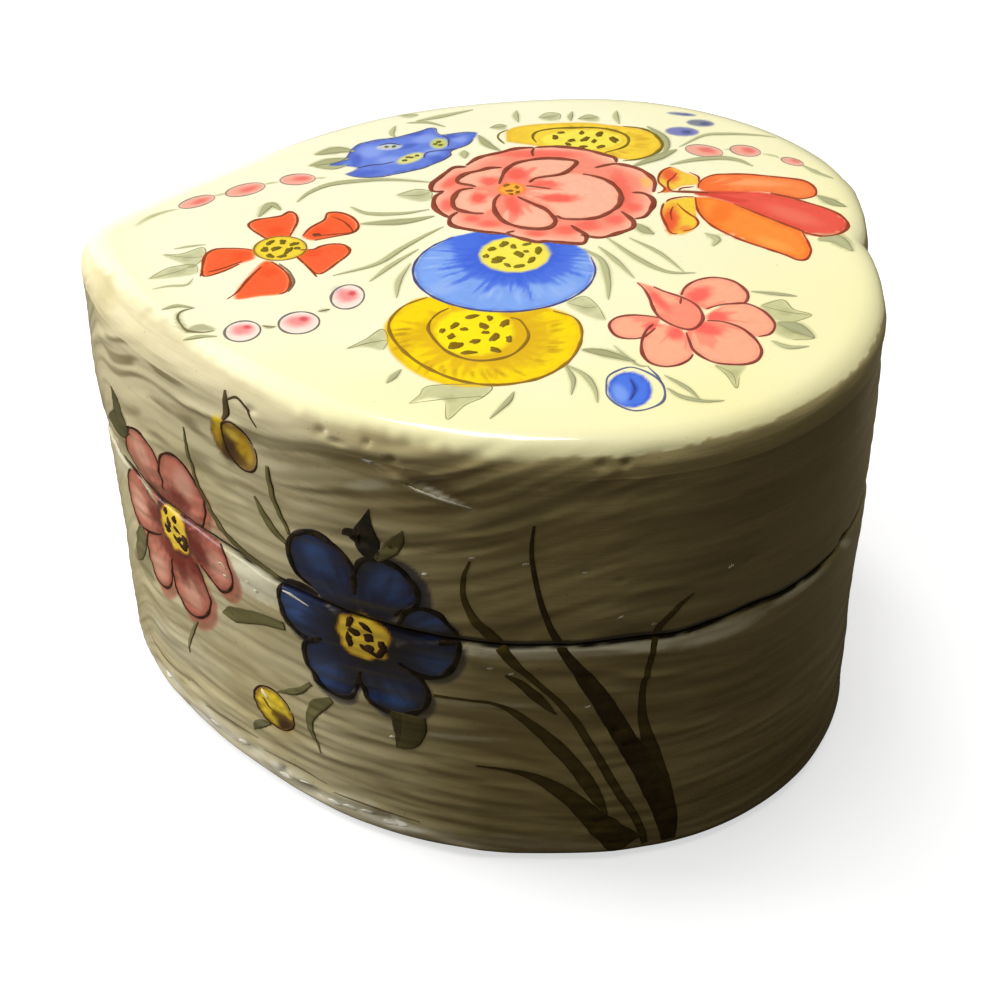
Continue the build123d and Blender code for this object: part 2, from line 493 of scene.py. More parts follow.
class Canvas:
    # Paint on a skin's points: colours laid over one another, each with its own cover.
    def __init__(self, u, v, soft, wrap=130.0):
        self.u, self.v, self.soft = np.ravel(u), np.ravel(v), soft
        self.rgb = np.zeros((len(self.u), 3))
        self.alpha = np.zeros(len(self.u))
        self.grain = lattice(self.u / wrap, (self.v + 60) / 130, round(wrap / 0.5), 260, 31)

    def lay(self, index, colour, cover):
        cover = np.clip(cover, 0, 1)
        colour = np.asarray(colour, float)
        self.rgb[index] = colour * cover[:, None] + self.rgb[index] * (1 - cover)[:, None]
        self.alpha[index] = cover + self.alpha[index] * (1 - cover)

    def near(self, shape, reach):
        low, high = shape.min(0) - reach, shape.max(0) + reach
        return np.flatnonzero((self.u > low[0]) & (self.u < high[0]) & (self.v > low[1])
                              & (self.v < high[1]))

    def fill(self, loop, colour, cover=1.0, edge=None, depth=2.0, uneven=0.05):
        # A filled shape. Its colour runs from the edge colour to the inner one over a depth.
        index = self.near(loop, 1.0)
        if not len(index):
            return index, np.zeros(0)
        px, py = self.u[index], self.v[index]
        gap, _ = segmentGap(px, py, loop, True)
        signed = np.where(inside(px, py, loop), gap, -gap)
        mask = np.clip(0.5 + signed / self.soft, 0, 1)
        tone = linear(colour)[None].repeat(len(index), 0)
        if edge is not None:
            t = smooth(0, depth, signed + (self.grain[index] - 0.5) * depth * 0.3)[:, None]
            tone = linear(edge)[None] * (1 - t) + tone * t
        tone = tone * (1 + uneven * (self.grain[index] - 0.5) * 2)[:, None]
        self.lay(index, tone, mask * cover)
        return index, mask

    def wash(self, cx, cy, rx, ry, colour, cover=0.9, turn=0.0, within=None, hard=1.0):
        # A soft blot: cover falls from its middle to its edge, kept inside the last filled shape.
        index, mask = within if within is not None else (np.arange(len(self.u)), np.ones(len(self.u)))
        t = math.radians(turn)
        dx, dy = self.u[index] - cx, self.v[index] - cy
        a = (dx * math.cos(t) + dy * math.sin(t)) / rx
        b = (dy * math.cos(t) - dx * math.sin(t)) / ry
        r = np.hypot(a, b) + 0.2 * (self.grain[index] - 0.5)
        self.lay(index, linear(colour), mask * cover * (1 - smooth(1 - 0.6 * hard, 1.25, r)))

    def washes(self, rows, colour, cover, within=None):
        for cx, cy, rx, ry, turn in rows:
            self.wash(cx, cy, rx, ry, colour, cover, turn, within)

    def blots(self, within, *rows):
        # Washes on one filled shape, each with its own colour.
        for row in rows:
            self.wash(*row, within=within)

    def stroke(self, line, width, colour, cover=1.0, taper=0.5, blunt=0.0, soft=None, within=None):
        # A brush stroke along a line: full width where the taper peaks, thin or blunt at its ends.
        index, mask = (self.near(line, width + 0.6), 1.0) if within is None else within
        if not len(index):
            return
        gap, along = segmentGap(self.u[index], self.v[index], line, False)
        rise = np.clip(along / max(taper, 1e-3), 0, 1)
        fall = np.clip((1 - along) / max(1 - taper, 1e-3), 0, 1)
        half = width / 2 * (blunt + (1 - blunt) * np.minimum(rise, fall) ** 0.6)
        edge = self.soft if soft is None else soft
        self.lay(index, linear(colour), cover * mask * np.clip(0.5 + (half - gap) / edge, 0, 1)
                 * np.clip(half / (self.soft * 0.5), 0, 1))

    def rays(self, cx, cy, colour, inner, outer, count, seed, cover=1.0, within=None, span=None):
        # Streaks out of a centre: how far each one reaches is noise round the circle.
        index, mask = within
        dx, dy = self.u[index] - cx, self.v[index] - cy
        angle = np.arctan2(dy, dx)
        r = np.hypot(dx, dy)
        reach = lattice(angle / math.tau, np.zeros_like(angle), count, 1, seed)
        reach = inner + (outer - inner) * reach ** 1.8
        if span is not None:
            away = np.abs(np.mod(angle - math.radians(span[0]) + math.pi, math.tau) - math.pi)
            cover = cover * (1 - smooth(math.radians(span[1]) * 0.7, math.radians(span[1]), away))
        reached = np.clip(0.5 + (reach - r) / (0.10 * (outer + 0.2)), 0, 1)
        self.lay(index, linear(colour), mask * cover * reached)


lineWeight = 1.25  # every drawn line's width is multiplied by this
sunk = -0.05  # how far the ribbons' lower edges lie in the skin


class Ink:
    # Fine raised line-work: flat ribbons that follow a skin, gathered into one mesh.
    def __init__(self, skin, seed, step=0.22):
        self.skin, self.step = skin, step
        self.points, self.faces, self.caps, self.colours, self.count = [], [], [], [], 0
        self.dice = np.random.default_rng(seed)

    def stroke(self, points, width, colour, closed=False, thin=0.35, high=0.035, smoothLine=True):
        # Half width is a sine bump along the line above a thin end, or the widths given, with a
        # little hand tremble. The section is a low trapezium sunk in the skin, cut finer where broad.
        line = curve(points, closed) if smoothLine else np.asarray(points, float)
        if closed:
            line = np.vstack([line, line[:3]])
        run = np.concatenate([[0], np.cumsum(np.hypot(*np.diff(line, axis=0).T))])
        total = run[-1]
        n = max(4, int(total / self.step))
        t = np.linspace(0, 1, n)
        x, y = np.interp(t * total, run, line[:, 0]), np.interp(t * total, run, line[:, 1])
        dx, dy = np.gradient(x), np.gradient(y)
        norm = np.maximum(np.hypot(dx, dy), 1e-9)
        ax, ay = -dy / norm, dx / norm
        waves = self.dice.random(5)
        tremble = 1 + 0.16 * np.sin(total * t * (0.6 + waves[0]) + 6 * waves[1])
        tremble = tremble + 0.10 * np.sin(total * t * (1.7 + waves[2]) + 6 * waves[3])
        body = thin + (1 - thin) * np.sin(math.pi * np.clip(t, 0.02, 0.98)) ** 0.55
        if np.ndim(width):
            half = np.interp(t * total, run, width) / 2 * (1 + 0.15 * (tremble - 1))
            lift = np.full(n, high + 0.02)
        else:
            ends = np.minimum(1, np.minimum(t, 1 - t) * total / (width * 0.6)) ** 0.5
            half = lineWeight * width / 2 * body * tremble * ends
            half[[0, -1]] = 0.004
            lift = high * np.clip(ends, 0.02, 1)
        across = max(2, math.ceil(np.max(width) / 0.3))
        offsets = [(-1.0, 0)] + [(o, 1) for o in np.linspace(-0.94, 0.94, across + 1)] + [(1.0, 0)]
        if across == 2:
            offsets = ((-1.0, 0), (-0.55, 1), (0.55, 1), (1.0, 0))
        m = len(offsets)
        rows = [self.skin(x + ax * half * o, y + ay * half * o, lift if up else np.full(n, sunk))
                for o, up in offsets]
        ring = np.stack([np.column_stack(row) for row in rows], 1)
        first = self.count
        self.points.append(ring.reshape(-1, 3))
        i = np.arange(n - 1)[:, None]
        j = np.arange(m)[None]
        jj = (j + 1) % m
        faces = np.stack([i * m + j, (i + 1) * m + j, (i + 1) * m + jj, i * m + jj], -1)
        self.faces.append(faces.reshape(-1, 4) + first)
        self.caps += [np.arange(m) + first, np.arange(m)[::-1] + first + (n - 1) * m]
        # one colour, or the middle's and the edge's for a broad stroke
        middle, edge = colour if np.ndim(colour) == 2 else (colour, colour)
        rim = np.array([abs(o) ** 3 for o, up in offsets])[:, None]
        tone = (linear(middle) * (1 - rim) + linear(edge) * rim) * (1 + 0.2 * (self.dice.random() - 0.5))
        self.colours.append(np.tile(tone, (n, 1)))
        self.count += n * m

    def dab(self, cx, cy, rx, ry, colour, turn=0.0, high=0.06):
        # A small raised blot: a low dome on an uneven oval.
        n = 12
        a = np.arange(n) / n * math.tau
        rough = 1 + 0.5 * (self.dice.random(n) - 0.5)
        rx, ry = rx * 1.2, ry * 1.3
        t = math.radians(turn)
        first = self.count
        points = []
        for scale, lift in ((1.0, sunk), (0.86, high * 0.7), (0.5, high)):
            px, py = rx * scale * rough * np.cos(a), ry * scale * rough * np.sin(a)
            qx, qy = cx + px * math.cos(t) - py * math.sin(t), cy + px * math.sin(t) + py * math.cos(t)
            points.append(np.column_stack(self.skin(qx, qy, np.full(n, lift))))
        self.points.append(np.vstack(points))
        j = np.arange(n)
        for r in range(2):
            self.faces.append(np.column_stack([r * n + j, r * n + (j + 1) % n, (r + 1) * n + (j + 1) % n,
                                               (r + 1) * n + j]) + first)
        self.caps += [2 * n + j + first, j[::-1] + first]
        self.colours.append(np.tile(linear(colour), (3 * n, 1)))
        self.count += 3 * n

    def strokes(self, rows, colour, **keys):
        for points, width in rows:
            self.stroke(points, width, colour, **keys)

    def dabs(self, rows, colour):
        for cx, cy, rx, ry, turn in rows:
            self.dab(cx, cy, rx, ry, colour, turn)

    def build(self, name):
        points = np.vstack(self.points)
        piece = makeMesh(name, points, np.vstack(self.faces), self.caps)
        storeColour(piece, np.vstack(self.colours), np.ones(self.count))
        return piece


pigment = dict(
    coral=(248, 100, 84), pink=(252, 186, 156), blush=(250, 146, 122), rim=(132, 62, 44),
    lemon=(248, 232, 84), ochre=(214, 166, 40), olive=(122, 104, 22), blue=(76, 114, 224),
    sky=(128, 167, 238), indigo=(74, 78, 128), orange=(251, 101, 56), tangerine=(255, 146, 58),
    apricot=(252, 140, 74), red=(238, 92, 74), moss=(112, 112, 52), dusk=(180, 182, 128))

# outer scallops of the double blossom in one turn, then its inner petals
ruffle = [
    [(-2.2, 20.5), (-0.5, 23), (2.4, 24.7), (4.5, 25.9), (7, 26.3)],
    [(7, 26.3), (10, 26.6), (13.7, 25.8), (16.7, 24.1), (18, 23.1), (18.2, 21.7)],
    [(15.2, 20.2), (17, 21.1), (18.5, 21.3), (21.3, 19.7), (23.1, 16.5), (22.9, 13)],
    [(20, 13), (21.5, 12.8), (22.6, 11.5), (22.8, 9.7), (21.7, 6.5), (20.2, 5.6)],
    [(18.5, 7.8), (19.9, 5.4), (20.1, 4), (19.7, 3), (18.2, 1.9), (15.8, 0.6), (13.2, 1.3)],
    [(12, 3.9), (13, 2.5), (14, 1.2), (13.7, -0.8), (12, -0.9), (9, -0.4), (7.5, -0.5), (4.1, 1.5),
     (5, 2.4)],
    [(4.1, 1.5), (1.3, 2), (-1.7, 3), (-3, 3.7), (-3.5, 4.7), (-3.4, 6.2), (-2.5, 7.5)],
    [(-3.5, 5.8), (-4.7, 7), (-5.6, 8.5), (-5.9, 10.5), (-5.6, 12), (-4.7, 13)],
    [(-4.6, 13.2), (-5.7, 13), (-6.4, 13.5), (-6.4, 15.2), (-5.5, 17), (-4.7, 18.5), (-3.7, 20), (-2, 20.2)]]
ruffleEdge = [(-2.2, 20.5), (-0.5, 23), (2.4, 24.7), (4.5, 25.9), (7, 26.3), (10, 26.6), (13.7, 25.8),
              (16.7, 24.1), (18.2, 22), (21.3, 19.7), (23.1, 16.5), (22.7, 13), (22.8, 9.7), (21.7, 6.5),
              (20.1, 5), (19.7, 3), (18.2, 1.9), (15.8, 0.6), (13.9, 0.9), (13.7, -0.8), (12, -0.9),
              (9, -0.4), (7.5, -0.5), (4.1, 1.5), (1.3, 2), (-1.7, 3), (-3.5, 4.7), (-3.5, 5.8),
              (-5.6, 8.5), (-5.9, 10.5), (-5.4, 12.6), (-6.4, 13.5), (-6.4, 15.2), (-4.7, 18.5), (-3.7, 20)]
heartPetals = [
    [(2.8, 20.1), (1, 19.9), (-0.3, 19.1), (-2, 18.2), (-3, 16.8), (-2.9, 15.5), (-1.2, 14.8),
     (-0.5, 14.4)],
    [(-0.7, 14.1), (-2.5, 13.5), (-3.2, 12), (-3.4, 10.2), (-3, 8.5), (-1.7, 7.5), (-0.2, 7), (0.9, 7.1)],
    [(2.5, 15.2), (2.8, 17.2), (3.2, 19.2), (4.2, 21), (5.5, 22), (8.5, 23), (11.8, 22.6), (12.8, 21.7),
     (11.5, 19), (10.2, 18), (8.5, 17.5), (7.2, 16.9), (6.5, 15.7)],
    [(13.5, 18.4), (15, 17.8), (16.5, 16.8), (17.8, 15), (18.6, 12.4), (18.2, 9.2), (16.2, 6.5),
     (14.5, 5.6), (12.5, 5.4), (11, 5.6), (10.1, 6.5)],
    [(2.8, 12.5), (2.1, 10.7), (2.1, 8.5), (2.6, 6.5), (3.6, 4.7), (5.2, 3.5), (7, 2.9), (8.7, 2.9),
     (9.7, 3.6), (10.1, 5), (9.6, 6.5), (8.7, 8.2), (7.2, 9.6), (5.7, 11), (5, 11.8)]]
bigPetalBack = [(9, 9), (6, 12), (6.5, 15.5), (9, 17.5), (11.5, 18.7)]


def paintBlossom(canvas, ink):
    c = pigment
    whole = canvas.fill(curve(ruffleEdge, True), c["blush"], edge=c["pink"], depth=2.6)
    canvas.blots(whole, (7, 24.4, 8, 1.5, c["coral"], 0.75), (18.6, 13.5, 1.6, 7, c["coral"], 0.7, 4),
                 (-3.9, 15.8, 1.0, 2.4, c["coral"], 0.75, -25))
    for x, y, rx, ry in (
            (14.2, 3.8, 1.8, 1.6), (17.8, 5.4, 1.5, 1.5), (11.6, 2.6, 1.9, 1.4), (1.6, 4.2, 1.7, 1.1),
            (-4.1, 9.2, 1.1, 2.2), (7.6, 1.6, 1.6, 1.0), (20.4, 8.8, 1.2, 1.4), (-0.6, 5.6, 1.2, 1)):
        canvas.wash(x, y, rx, ry, c["coral"], 0.75, within=whole)
    canvas.wash(22, 16, 0.9, 1.8, (250, 196, 92), 0.75, 0, whole)
    fills = [curve(p) for p in heartPetals]
    fills[3] = np.vstack([fills[3], curve(bigPetalBack)])
    fills[0] = np.vstack([fills[0], [[1.8, 15], [3, 17.5]]])
    fills[1] = np.vstack([fills[1], [[2.4, 9], [2.6, 12], [1, 14]]])
    masks = [canvas.fill(fills[k], c["pink"], edge=(250, 168, 138), depth=0.9) for k in (3, 0, 1, 2, 4)]
    big, left, low, upper, front = masks
    canvas.blots(big, (10.4, 11.3, 3.2, 1.5, c["coral"], 0.95, 0),
                 (8.6, 15.3, 2.6, 1.5, c["coral"], 0.8, -8))
    canvas.rays(4.2, 13.8, c["coral"], 1.5, 7.5, 60, 41, 0.55, big, (-12, 50))
    canvas.wash(1.3, 16, 1.8, 1.6, c["coral"], 0.9, -30, left)
    canvas.wash(-0.1, 11.3, 1.4, 2.1, c["coral"], 0.95, 0, low)
    canvas.rays(2.6, 13.2, c["coral"], 1.5, 4.5, 50, 42, 0.5, low)
    canvas.wash(4.8, 18.4, 1.7, 2.2, c["coral"], 0.95, 10, upper)
    canvas.rays(4.4, 15, c["coral"], 2.5, 6.5, 60, 43, 0.6, upper)
    canvas.wash(4.5, 9.2, 1.2, 3.4, c["coral"], 0.9, 12, front)
    canvas.rays(4.3, 12, c["coral"], 3.0, 8.0, 60, 44, 0.55, front)
    for line in ruffle + heartPetals:
        ink.stroke(line, 0.62, c["rim"], thin=0.45)
    ink.stroke([(7, 26.3), (6.7, 25), (6.9, 23.6)], 0.45, c["rim"])
    ink.stroke([(6, 14.8), (7.5, 14.5), (9.5, 13.9)], 0.5, c["rim"])
    canvas.fill(oval(4.2, 13.8, 1.9, 2.0), (250, 176, 62), edge=(248, 130, 70), depth=0.8)
    for x, y, r, turn in ((3.5, 14.9, 0.5, 40), (4.9, 14.4, 0.42, 100), (3.9, 13.3, 0.5, 10),
                          (5.0, 13.0, 0.4, 60), (4.2, 12.4, 0.34, 0)):
        ink.dab(x, y, r, 0.26, (150, 92, 30), turn)


def streaks(canvas, rng, count, centre, reach, turns, starts, ends, *look, twist=0.0, **keys):
    # Short random brush strokes out of a centre, turned a little more the farther out they lie.
    (cx, cy), (rx, ry) = centre, reach
    for k in range(count):
        a = math.radians(rng.uniform(*turns))
        r0, r1 = rng.uniform(*starts), rng.uniform(*ends)
        line = [(cx + r * rx * math.cos(a + (r - 8) * twist), cy + r * ry * math.sin(a + (r - 8) * twist))
                for r in (r0, (r0 + r1) / 2, r1)]
        canvas.stroke(curve(line), *look, **keys)


def paintDiscs(canvas, ink):
    c = pigment
    rng = np.random.default_rng(51)
    # the yellow disc behind the blossom
    upper = [(3.1, 27.9), (3.1, 31.4), (5.4, 33.1), (9.6, 33.9), (14.2, 34.1), (17.3, 33.4), (20.8, 32.5),
             (22.7, 31.4), (24, 29.9), (24.6, 27.5), (24.2, 25.6), (22.7, 23.7), (20.4, 22.5), (17, 23.5)]
    whole = canvas.fill(np.vstack([curve(upper), [[10, 26]]]), (250, 214, 66), edge=(238, 188, 50),
                        depth=1.0)
    canvas.blots(whole, (5, 30, 1.6, 2.6, (234, 190, 56), 0.5, 0),
                 (22, 27.5, 1.4, 3.4, (238, 196, 50), 0.6, 0))
    streaks(canvas, rng, 22, (13.5, 28.2), (10.3, 5.6), (-75, 100), (0.62, 0.72), (0.86, 1.0), 0.5,
            (206, 150, 40), 0.5, soft=0.4)
    canvas.fill(oval(13.5, 28.7, 6.1, 3.5), c["lemon"], edge=(240, 200, 60), depth=0.6)
    ink.stroke([(3.3, 31.8), (2.1, 30.6), (1.9, 29.1), (2.9, 27.2)], 0.4, c["olive"])
    ink.stroke([(19.2, 32.9), (21.5, 32.4), (23.1, 31.2), (24.2, 29.1), (24.6, 26.8), (23.5, 24.5),
                (21.5, 22.9), (18.9, 22.2)], 0.6, c["olive"])
    ink.stroke([(7.3, 27.7), (6.7, 29.5), (7.3, 31.2), (9.6, 32.2), (12.7, 32.5), (15.4, 32.5), (17.7, 31.8),
                (19.6, 30.2), (20, 28.3), (19.2, 26.4), (16.5, 24.7)], 0.6, c["olive"])
    ink.dabs((
        (13.5, 30.9, 0.6, 0.3, 90), (16, 30.4, 0.75, 0.4, 70), (9.8, 29.5, 0.7, 0.35, 100),
        (12.1, 28.5, 0.6, 0.4, 30), (14, 28.9, 0.8, 0.42, 60), (15.2, 28.3, 0.6, 0.3, 80),
        (17.9, 28.7, 0.9, 0.5, 110), (13.7, 26.6, 0.6, 0.3, 10), (16.2, 26.6, 0.7, 0.35, 40),
        (10.6, 30.9, 0.5, 0.3, 20), (11.6, 27.4, 0.5, 0.3, 120)), (110, 86, 18))
    # the yellow disc under the blue one
    lower = [
        (-5, -14.1), (-7.9, -16.5), (-9.6, -20.2), (-9.4, -22.8), (-8.3, -27), (-5.1, -31.2), (-1, -33.4),
        (3.9, -33.3), (8.6, -31.6), (12, -27.8), (13.4, -22.8), (12.7, -18.8), (9.9, -16.5), (4, -15)]
    whole = canvas.fill(curve(lower, True), (251, 216, 16), edge=(244, 200, 24), depth=1.2)
    canvas.wash(4.2, -23.2, 6.2, 6.6, c["ochre"], 0.6, 0, whole, 0.5)
    canvas.rays(1.6, -22.5, (226, 178, 26), 6.0, 10.5, 90, 52, 0.75, whole)
    streaks(canvas, rng, 30, (1.6, -22.6), (1, 0.93), (-200, 20), (7.6, 8.6), (9.6, 11.4), 0.45,
            (176, 128, 28), 0.6, 0.35, twist=0.03, soft=0.35, within=whole)
    canvas.wash(-6.6, -24.5, 1.6, 6.5, (222, 176, 22), 0.5, -22, whole)
    canvas.fill(oval(0.9, -21.9, 4.9, 5.5), (251, 232, 24), edge=(240, 200, 30), depth=0.7)
    ink.stroke([
        (-5, -14.1), (-7.9, -16.5), (-9.2, -20.6), (-7.8, -25), (-4.7, -29.2), (-0.5, -32.2), (3.9, -33.1),
        (8.6, -31.6), (12, -27.8), (13.4, -22.8), (12.7, -18.8), (9.9, -17)], 0.55, (142, 106, 20))
    ink.stroke([(-2.3, -16.6), (-3.7, -18.1), (-4.5, -20.3), (-4.2, -22.5), (-2, -26.3), (1.4, -28.1),
                (5.2, -26.9), (7.2, -23.1), (6.3, -19.5), (4.9, -18.6)], 0.5, (138, 104, 22))
    ink.dabs((
        (0.35, -18.6, 0.9, 0.4, 20), (-1.5, -20.6, 0.7, 0.35, 60), (-0.3, -21.4, 0.5, 0.3, 0),
        (2, -20.7, 0.75, 0.4, 120), (4.4, -20, 0.8, 0.4, 60), (3.3, -23, 0.95, 0.42, 75),
        (1.1, -24, 0.6, 0.4, 30), (-1.2, -25, 0.95, 0.6, 40), (5, -23.4, 0.7, 0.35, 100),
        (0.5, -26.4, 0.8, 0.35, 10), (3.5, -25.8, 0.7, 0.4, 140), (-1.7, -23, 0.6, 0.4, 90),
        (2.6, -18.9, 0.6, 0.3, 100), (-2.9, -21.8, 0.5, 0.3, 80), (2.2, -22, 0.45, 0.3, 0)), (128, 98, 14))
    # the blue disc
    whole = canvas.fill(oval(3.9, -7.3, 11.3, 10.2), c["sky"], edge=(102, 140, 226), depth=0.9)
    canvas.rays(5.1, -3.6, c["blue"], 6.6, 11.5, 130, 53, 0.9, whole)
    canvas.rays(5.1, -3.6, c["blue"], 7.2, 8.6, 40, 55, 0.8, whole)
    canvas.rays(5.1, -3.6, (60, 94, 212), 5.2, 8.0, 110, 54, 0.55, whole)
    streaks(canvas, rng, 26, (5.1, -3.6), (1, 1), (-175, 5), (7.6, 9.4), (10.6, 13), 0.5,
            (164, 192, 246), 0.45, 0.6, soft=0.35, within=whole)
    canvas.blots(whole, (-1.8, -0.2, 3.6, 2.6, c["blue"], 0.85, -30),
                 (-3.4, -12, 2.2, 1.8, (170, 196, 246), 0.4, 30),
                 (11, -12.6, 2.4, 1.6, (166, 192, 246), 0.35, 40))
    ink.stroke(np.roll(oval(3.9, -7.3, 11.2, 10.1, 0, 20), -7, 0)[:15], 0.42, c["indigo"])
    canvas.fill(oval(5.1, -3.7, 4.5, 4.5), c["lemon"], edge=(226, 218, 120), depth=0.6)
    ink.dabs((
        (3.7, -1, 0.8, 0.4, 60), (4.9, -1.7, 0.6, 0.35, 100), (2.2, -2.3, 0.7, 0.4, 50),
        (8, -2.6, 0.95, 0.36, 90), (5.6, -3.6, 0.85, 0.42, 120), (7.2, -5, 0.8, 0.36, 70),
        (5.8, -6.6, 0.7, 0.4, 20), (3, -5, 0.9, 0.6, 40), (6.6, -1.1, 0.6, 0.3, 30),
        (1.6, -4.1, 0.5, 0.35, 90), (4.3, -6.4, 0.5, 0.3, 140), (6.5, -3.0, 0.4, 0.3, 0)), (122, 108, 18))


bellEdge = [
    (-18.2, 17.9), (-17.1, 17.2), (-15.3, 16.9), (-13.5, 17.1), (-11.7, 17.8), (-8.2, 19.5), (-6.7, 20.8),
    (-5.3, 22.2), (-4.4, 23.6), (-4.4, 24.9), (-2.3, 26.8), (-1.5, 28.6), (-1.1, 30.6), (-2.6, 30.8),
    (-4.4, 30.3), (-6, 29.8), (-6.7, 30.6), (-7, 31.9), (-8, 31.9), (-8.9, 31.1), (-11.7, 29.3),
    (-13.2, 28.6), (-14.8, 28.2), (-16.2, 27.5), (-17.3, 26.8), (-18.1, 25.2), (-18.8, 22.2), (-20.7, 20.4),
    (-18.9, 20.2), (-17.3, 19.9), (-16.9, 19.5), (-17.5, 18.6)]


def paintBells(canvas, ink):
    c = pigment
    whole = canvas.fill(curve(bellEdge, True, 0.3), (108, 134, 222), edge=(84, 106, 190), depth=1.0)
    canvas.washes(((-15.4, 24.5, 2.0, 2.2, 20), (-12.6, 22, 2.2, 1.4, 10), (-8.2, 28.6, 2.0, 1.4, 30),
                   (-7, 24.6, 1.4, 1.2, 0), (-3.4, 28.6, 1.2, 1.2, 0)), (150, 174, 242), 0.7, whole)
    canvas.washes((
        (-15.4, 18.2, 2.4, 1.0, 10), (-10.6, 26.2, 1.8, 0.8, 30), (-17.2, 22, 0.9, 2.2, 0),
        (-6.2, 22.2, 1.2, 1.5, 0), (-4.6, 29.4, 1.4, 0.7, 0),
        (-9.6, 30, 1.3, 0.7, 20)), (66, 88, 188), 0.6, whole)
    canvas.fill(oval(-13, 26, 1.8, 0.9, 8), (212, 216, 206), 0.85)
    canvas.fill(oval(-9.8, 22.6, 2.3, 1.2, 45), (232, 226, 140), edge=(206, 206, 150), depth=0.5)
    canvas.fill(oval(-6.2, 27.2, 1.3, 1.7), (206, 208, 110), edge=(190, 204, 170), depth=0.6)
    for line in ([(-16.9, 19.5), (-15.3, 20.4), (-13.5, 20.8), (-11.9, 21.6)],
                 [(-8, 22.7), (-7.9, 24), (-7.1, 24.7), (-4.8, 25.3), (-3.5, 25.7)],
                 [(-14.6, 26.3), (-13, 27.1), (-11.4, 26.6)], [(-6, 29.8), (-5, 28.6), (-4.9, 26.2)]):
        ink.stroke(line, 0.34, c["indigo"])
    ink.stroke(bellEdge[:12], 0.3, (78, 84, 120), thin=0.5)
    ink.stroke(bellEdge[12:28], 0.26, (86, 96, 140), thin=0.5)
    for x, y in ((-10.6, 21.9), (-9.7, 22.8), (-9.0, 23.4), (-6.3, 27.7), (-6.0, 26.7), (-13.4, 26),
                 (-12.4, 26.1), (-10.2, 22.9), (-6.7, 27.0)):
        ink.dab(x, y, 0.34, 0.24, (104, 104, 40), 30)


orangePetals = [
    [(-26.2, -0.2), (-27.3, 1), (-28.6, 2.4), (-29.3, 3.8), (-28.6, 5), (-27, 5.6), (-25.4, 6.2),
     (-24.5, 7.3), (-23.6, 6.7), (-23.1, 4.9), (-23.3, 2.7), (-23.6, 0.8)],
    [(-22, 0.9), (-21.2, 3.2), (-19.7, 5.2), (-19.4, 7.1), (-17.6, 7.1), (-16, 5.8), (-15.1, 3.7),
     (-15.7, 1.9), (-17.8, 0.9), (-20.4, -0.2)],
    [(-22, -2.7), (-20.2, -2.5), (-19.4, -1.7), (-18.1, -1.1), (-16.6, -1.2), (-15.7, -2.3), (-15.7, -3.7),
     (-16.8, -5.8), (-18.7, -8.7), (-20.4, -6.9), (-22.3, -4)],
    [(-26, -5.6), (-25.2, -5.6), (-23.9, -6.9), (-22.5, -9), (-22, -11.1), (-22.2, -12.9), (-23.1, -13.8),
     (-25.2, -14.2), (-28.1, -14.9), (-28.2, -12.4), (-27.5, -9.8), (-26.8, -7.4)],
    [(-27.7, -2.9), (-28.9, -2.5), (-31, -2.4), (-32.6, -2.7), (-33.5, -4), (-33.5, -6.3), (-32.9, -9.4),
     (-30.7, -8.2), (-28.9, -6.3), (-27.3, -5)]]


def paintOrangeFlower(canvas, ink):
    c = pigment
    line = (146, 62, 30)
    for p in orangePetals:
        whole = canvas.fill(curve(p, True, 0.3), c["orange"], edge=(252, 122, 66), depth=0.7, uneven=0.08)
        mid = np.mean(p, 0)
        canvas.wash(mid[0] * 0.75 - 6.1, mid[1] * 0.75 - 0.6, 1.4, 1.4, (240, 78, 34), 0.5, 0, whole)
    for k, part in ((0, slice(0, 12)), (1, slice(0, 10)), (2, slice(0, 10)), (3, slice(1, 7)),
                    (4, slice(0, 9))):
        ink.stroke(orangePetals[k][part], 0.42, line, thin=0.5)
    ink.strokes((
        ([(-18.9, 6.2), (-17.3, 5), (-16.2, 3.4), (-15.8, 2), (-17.8, 1.5), (-20.4, 0.9)], 0.34),
        ([(-22.2, -4.2), (-20.4, -6.9), (-18.9, -9.5)], 0.4),
        ([(-26.1, -6.9), (-27.3, -10), (-28.2, -13.2), (-29.2, -15)], 0.42),
        ([(-32.6, -8.5), (-30.8, -7.4), (-28.6, -5.6)], 0.32), ([(-33.3, -9.6), (-33.2, -8)], 0.4)), line)
    ink.stroke([(-24.1, -6.1), (-22.5, -8.2), (-21.6, -10.8), (-22, -13.2)], 0.4, (120, 104, 84))
    ink.dab(-20.2, 1.3, 0.5, 0.35, (120, 50, 26), 20)
    canvas.fill(oval(-24.4, -2.3, 3.4, 3.2), (246, 216, 62), edge=(214, 178, 50), depth=0.6)
    ink.stroke(oval(-24.4, -2.3, 3.3, 3.1, 0), 0.28, (140, 112, 36), True, thin=0.6)
    ink.dabs((
        (-25.9, -0.9, 0.7, 0.35, 60), (-24.3, -0.6, 0.6, 0.34, 100), (-22.8, -1.2, 0.6, 0.34, 40),
        (-26.3, -2.7, 0.7, 0.36, 90), (-24.9, -2.4, 0.7, 0.4, 45), (-23.3, -2.9, 0.8, 0.36, 70),
        (-25.4, -4.2, 0.6, 0.34, 120), (-23.9, -4.3, 0.6, 0.34, 30),
        (-22.2, -2.3, 0.4, 0.3, 0)), (112, 96, 22))


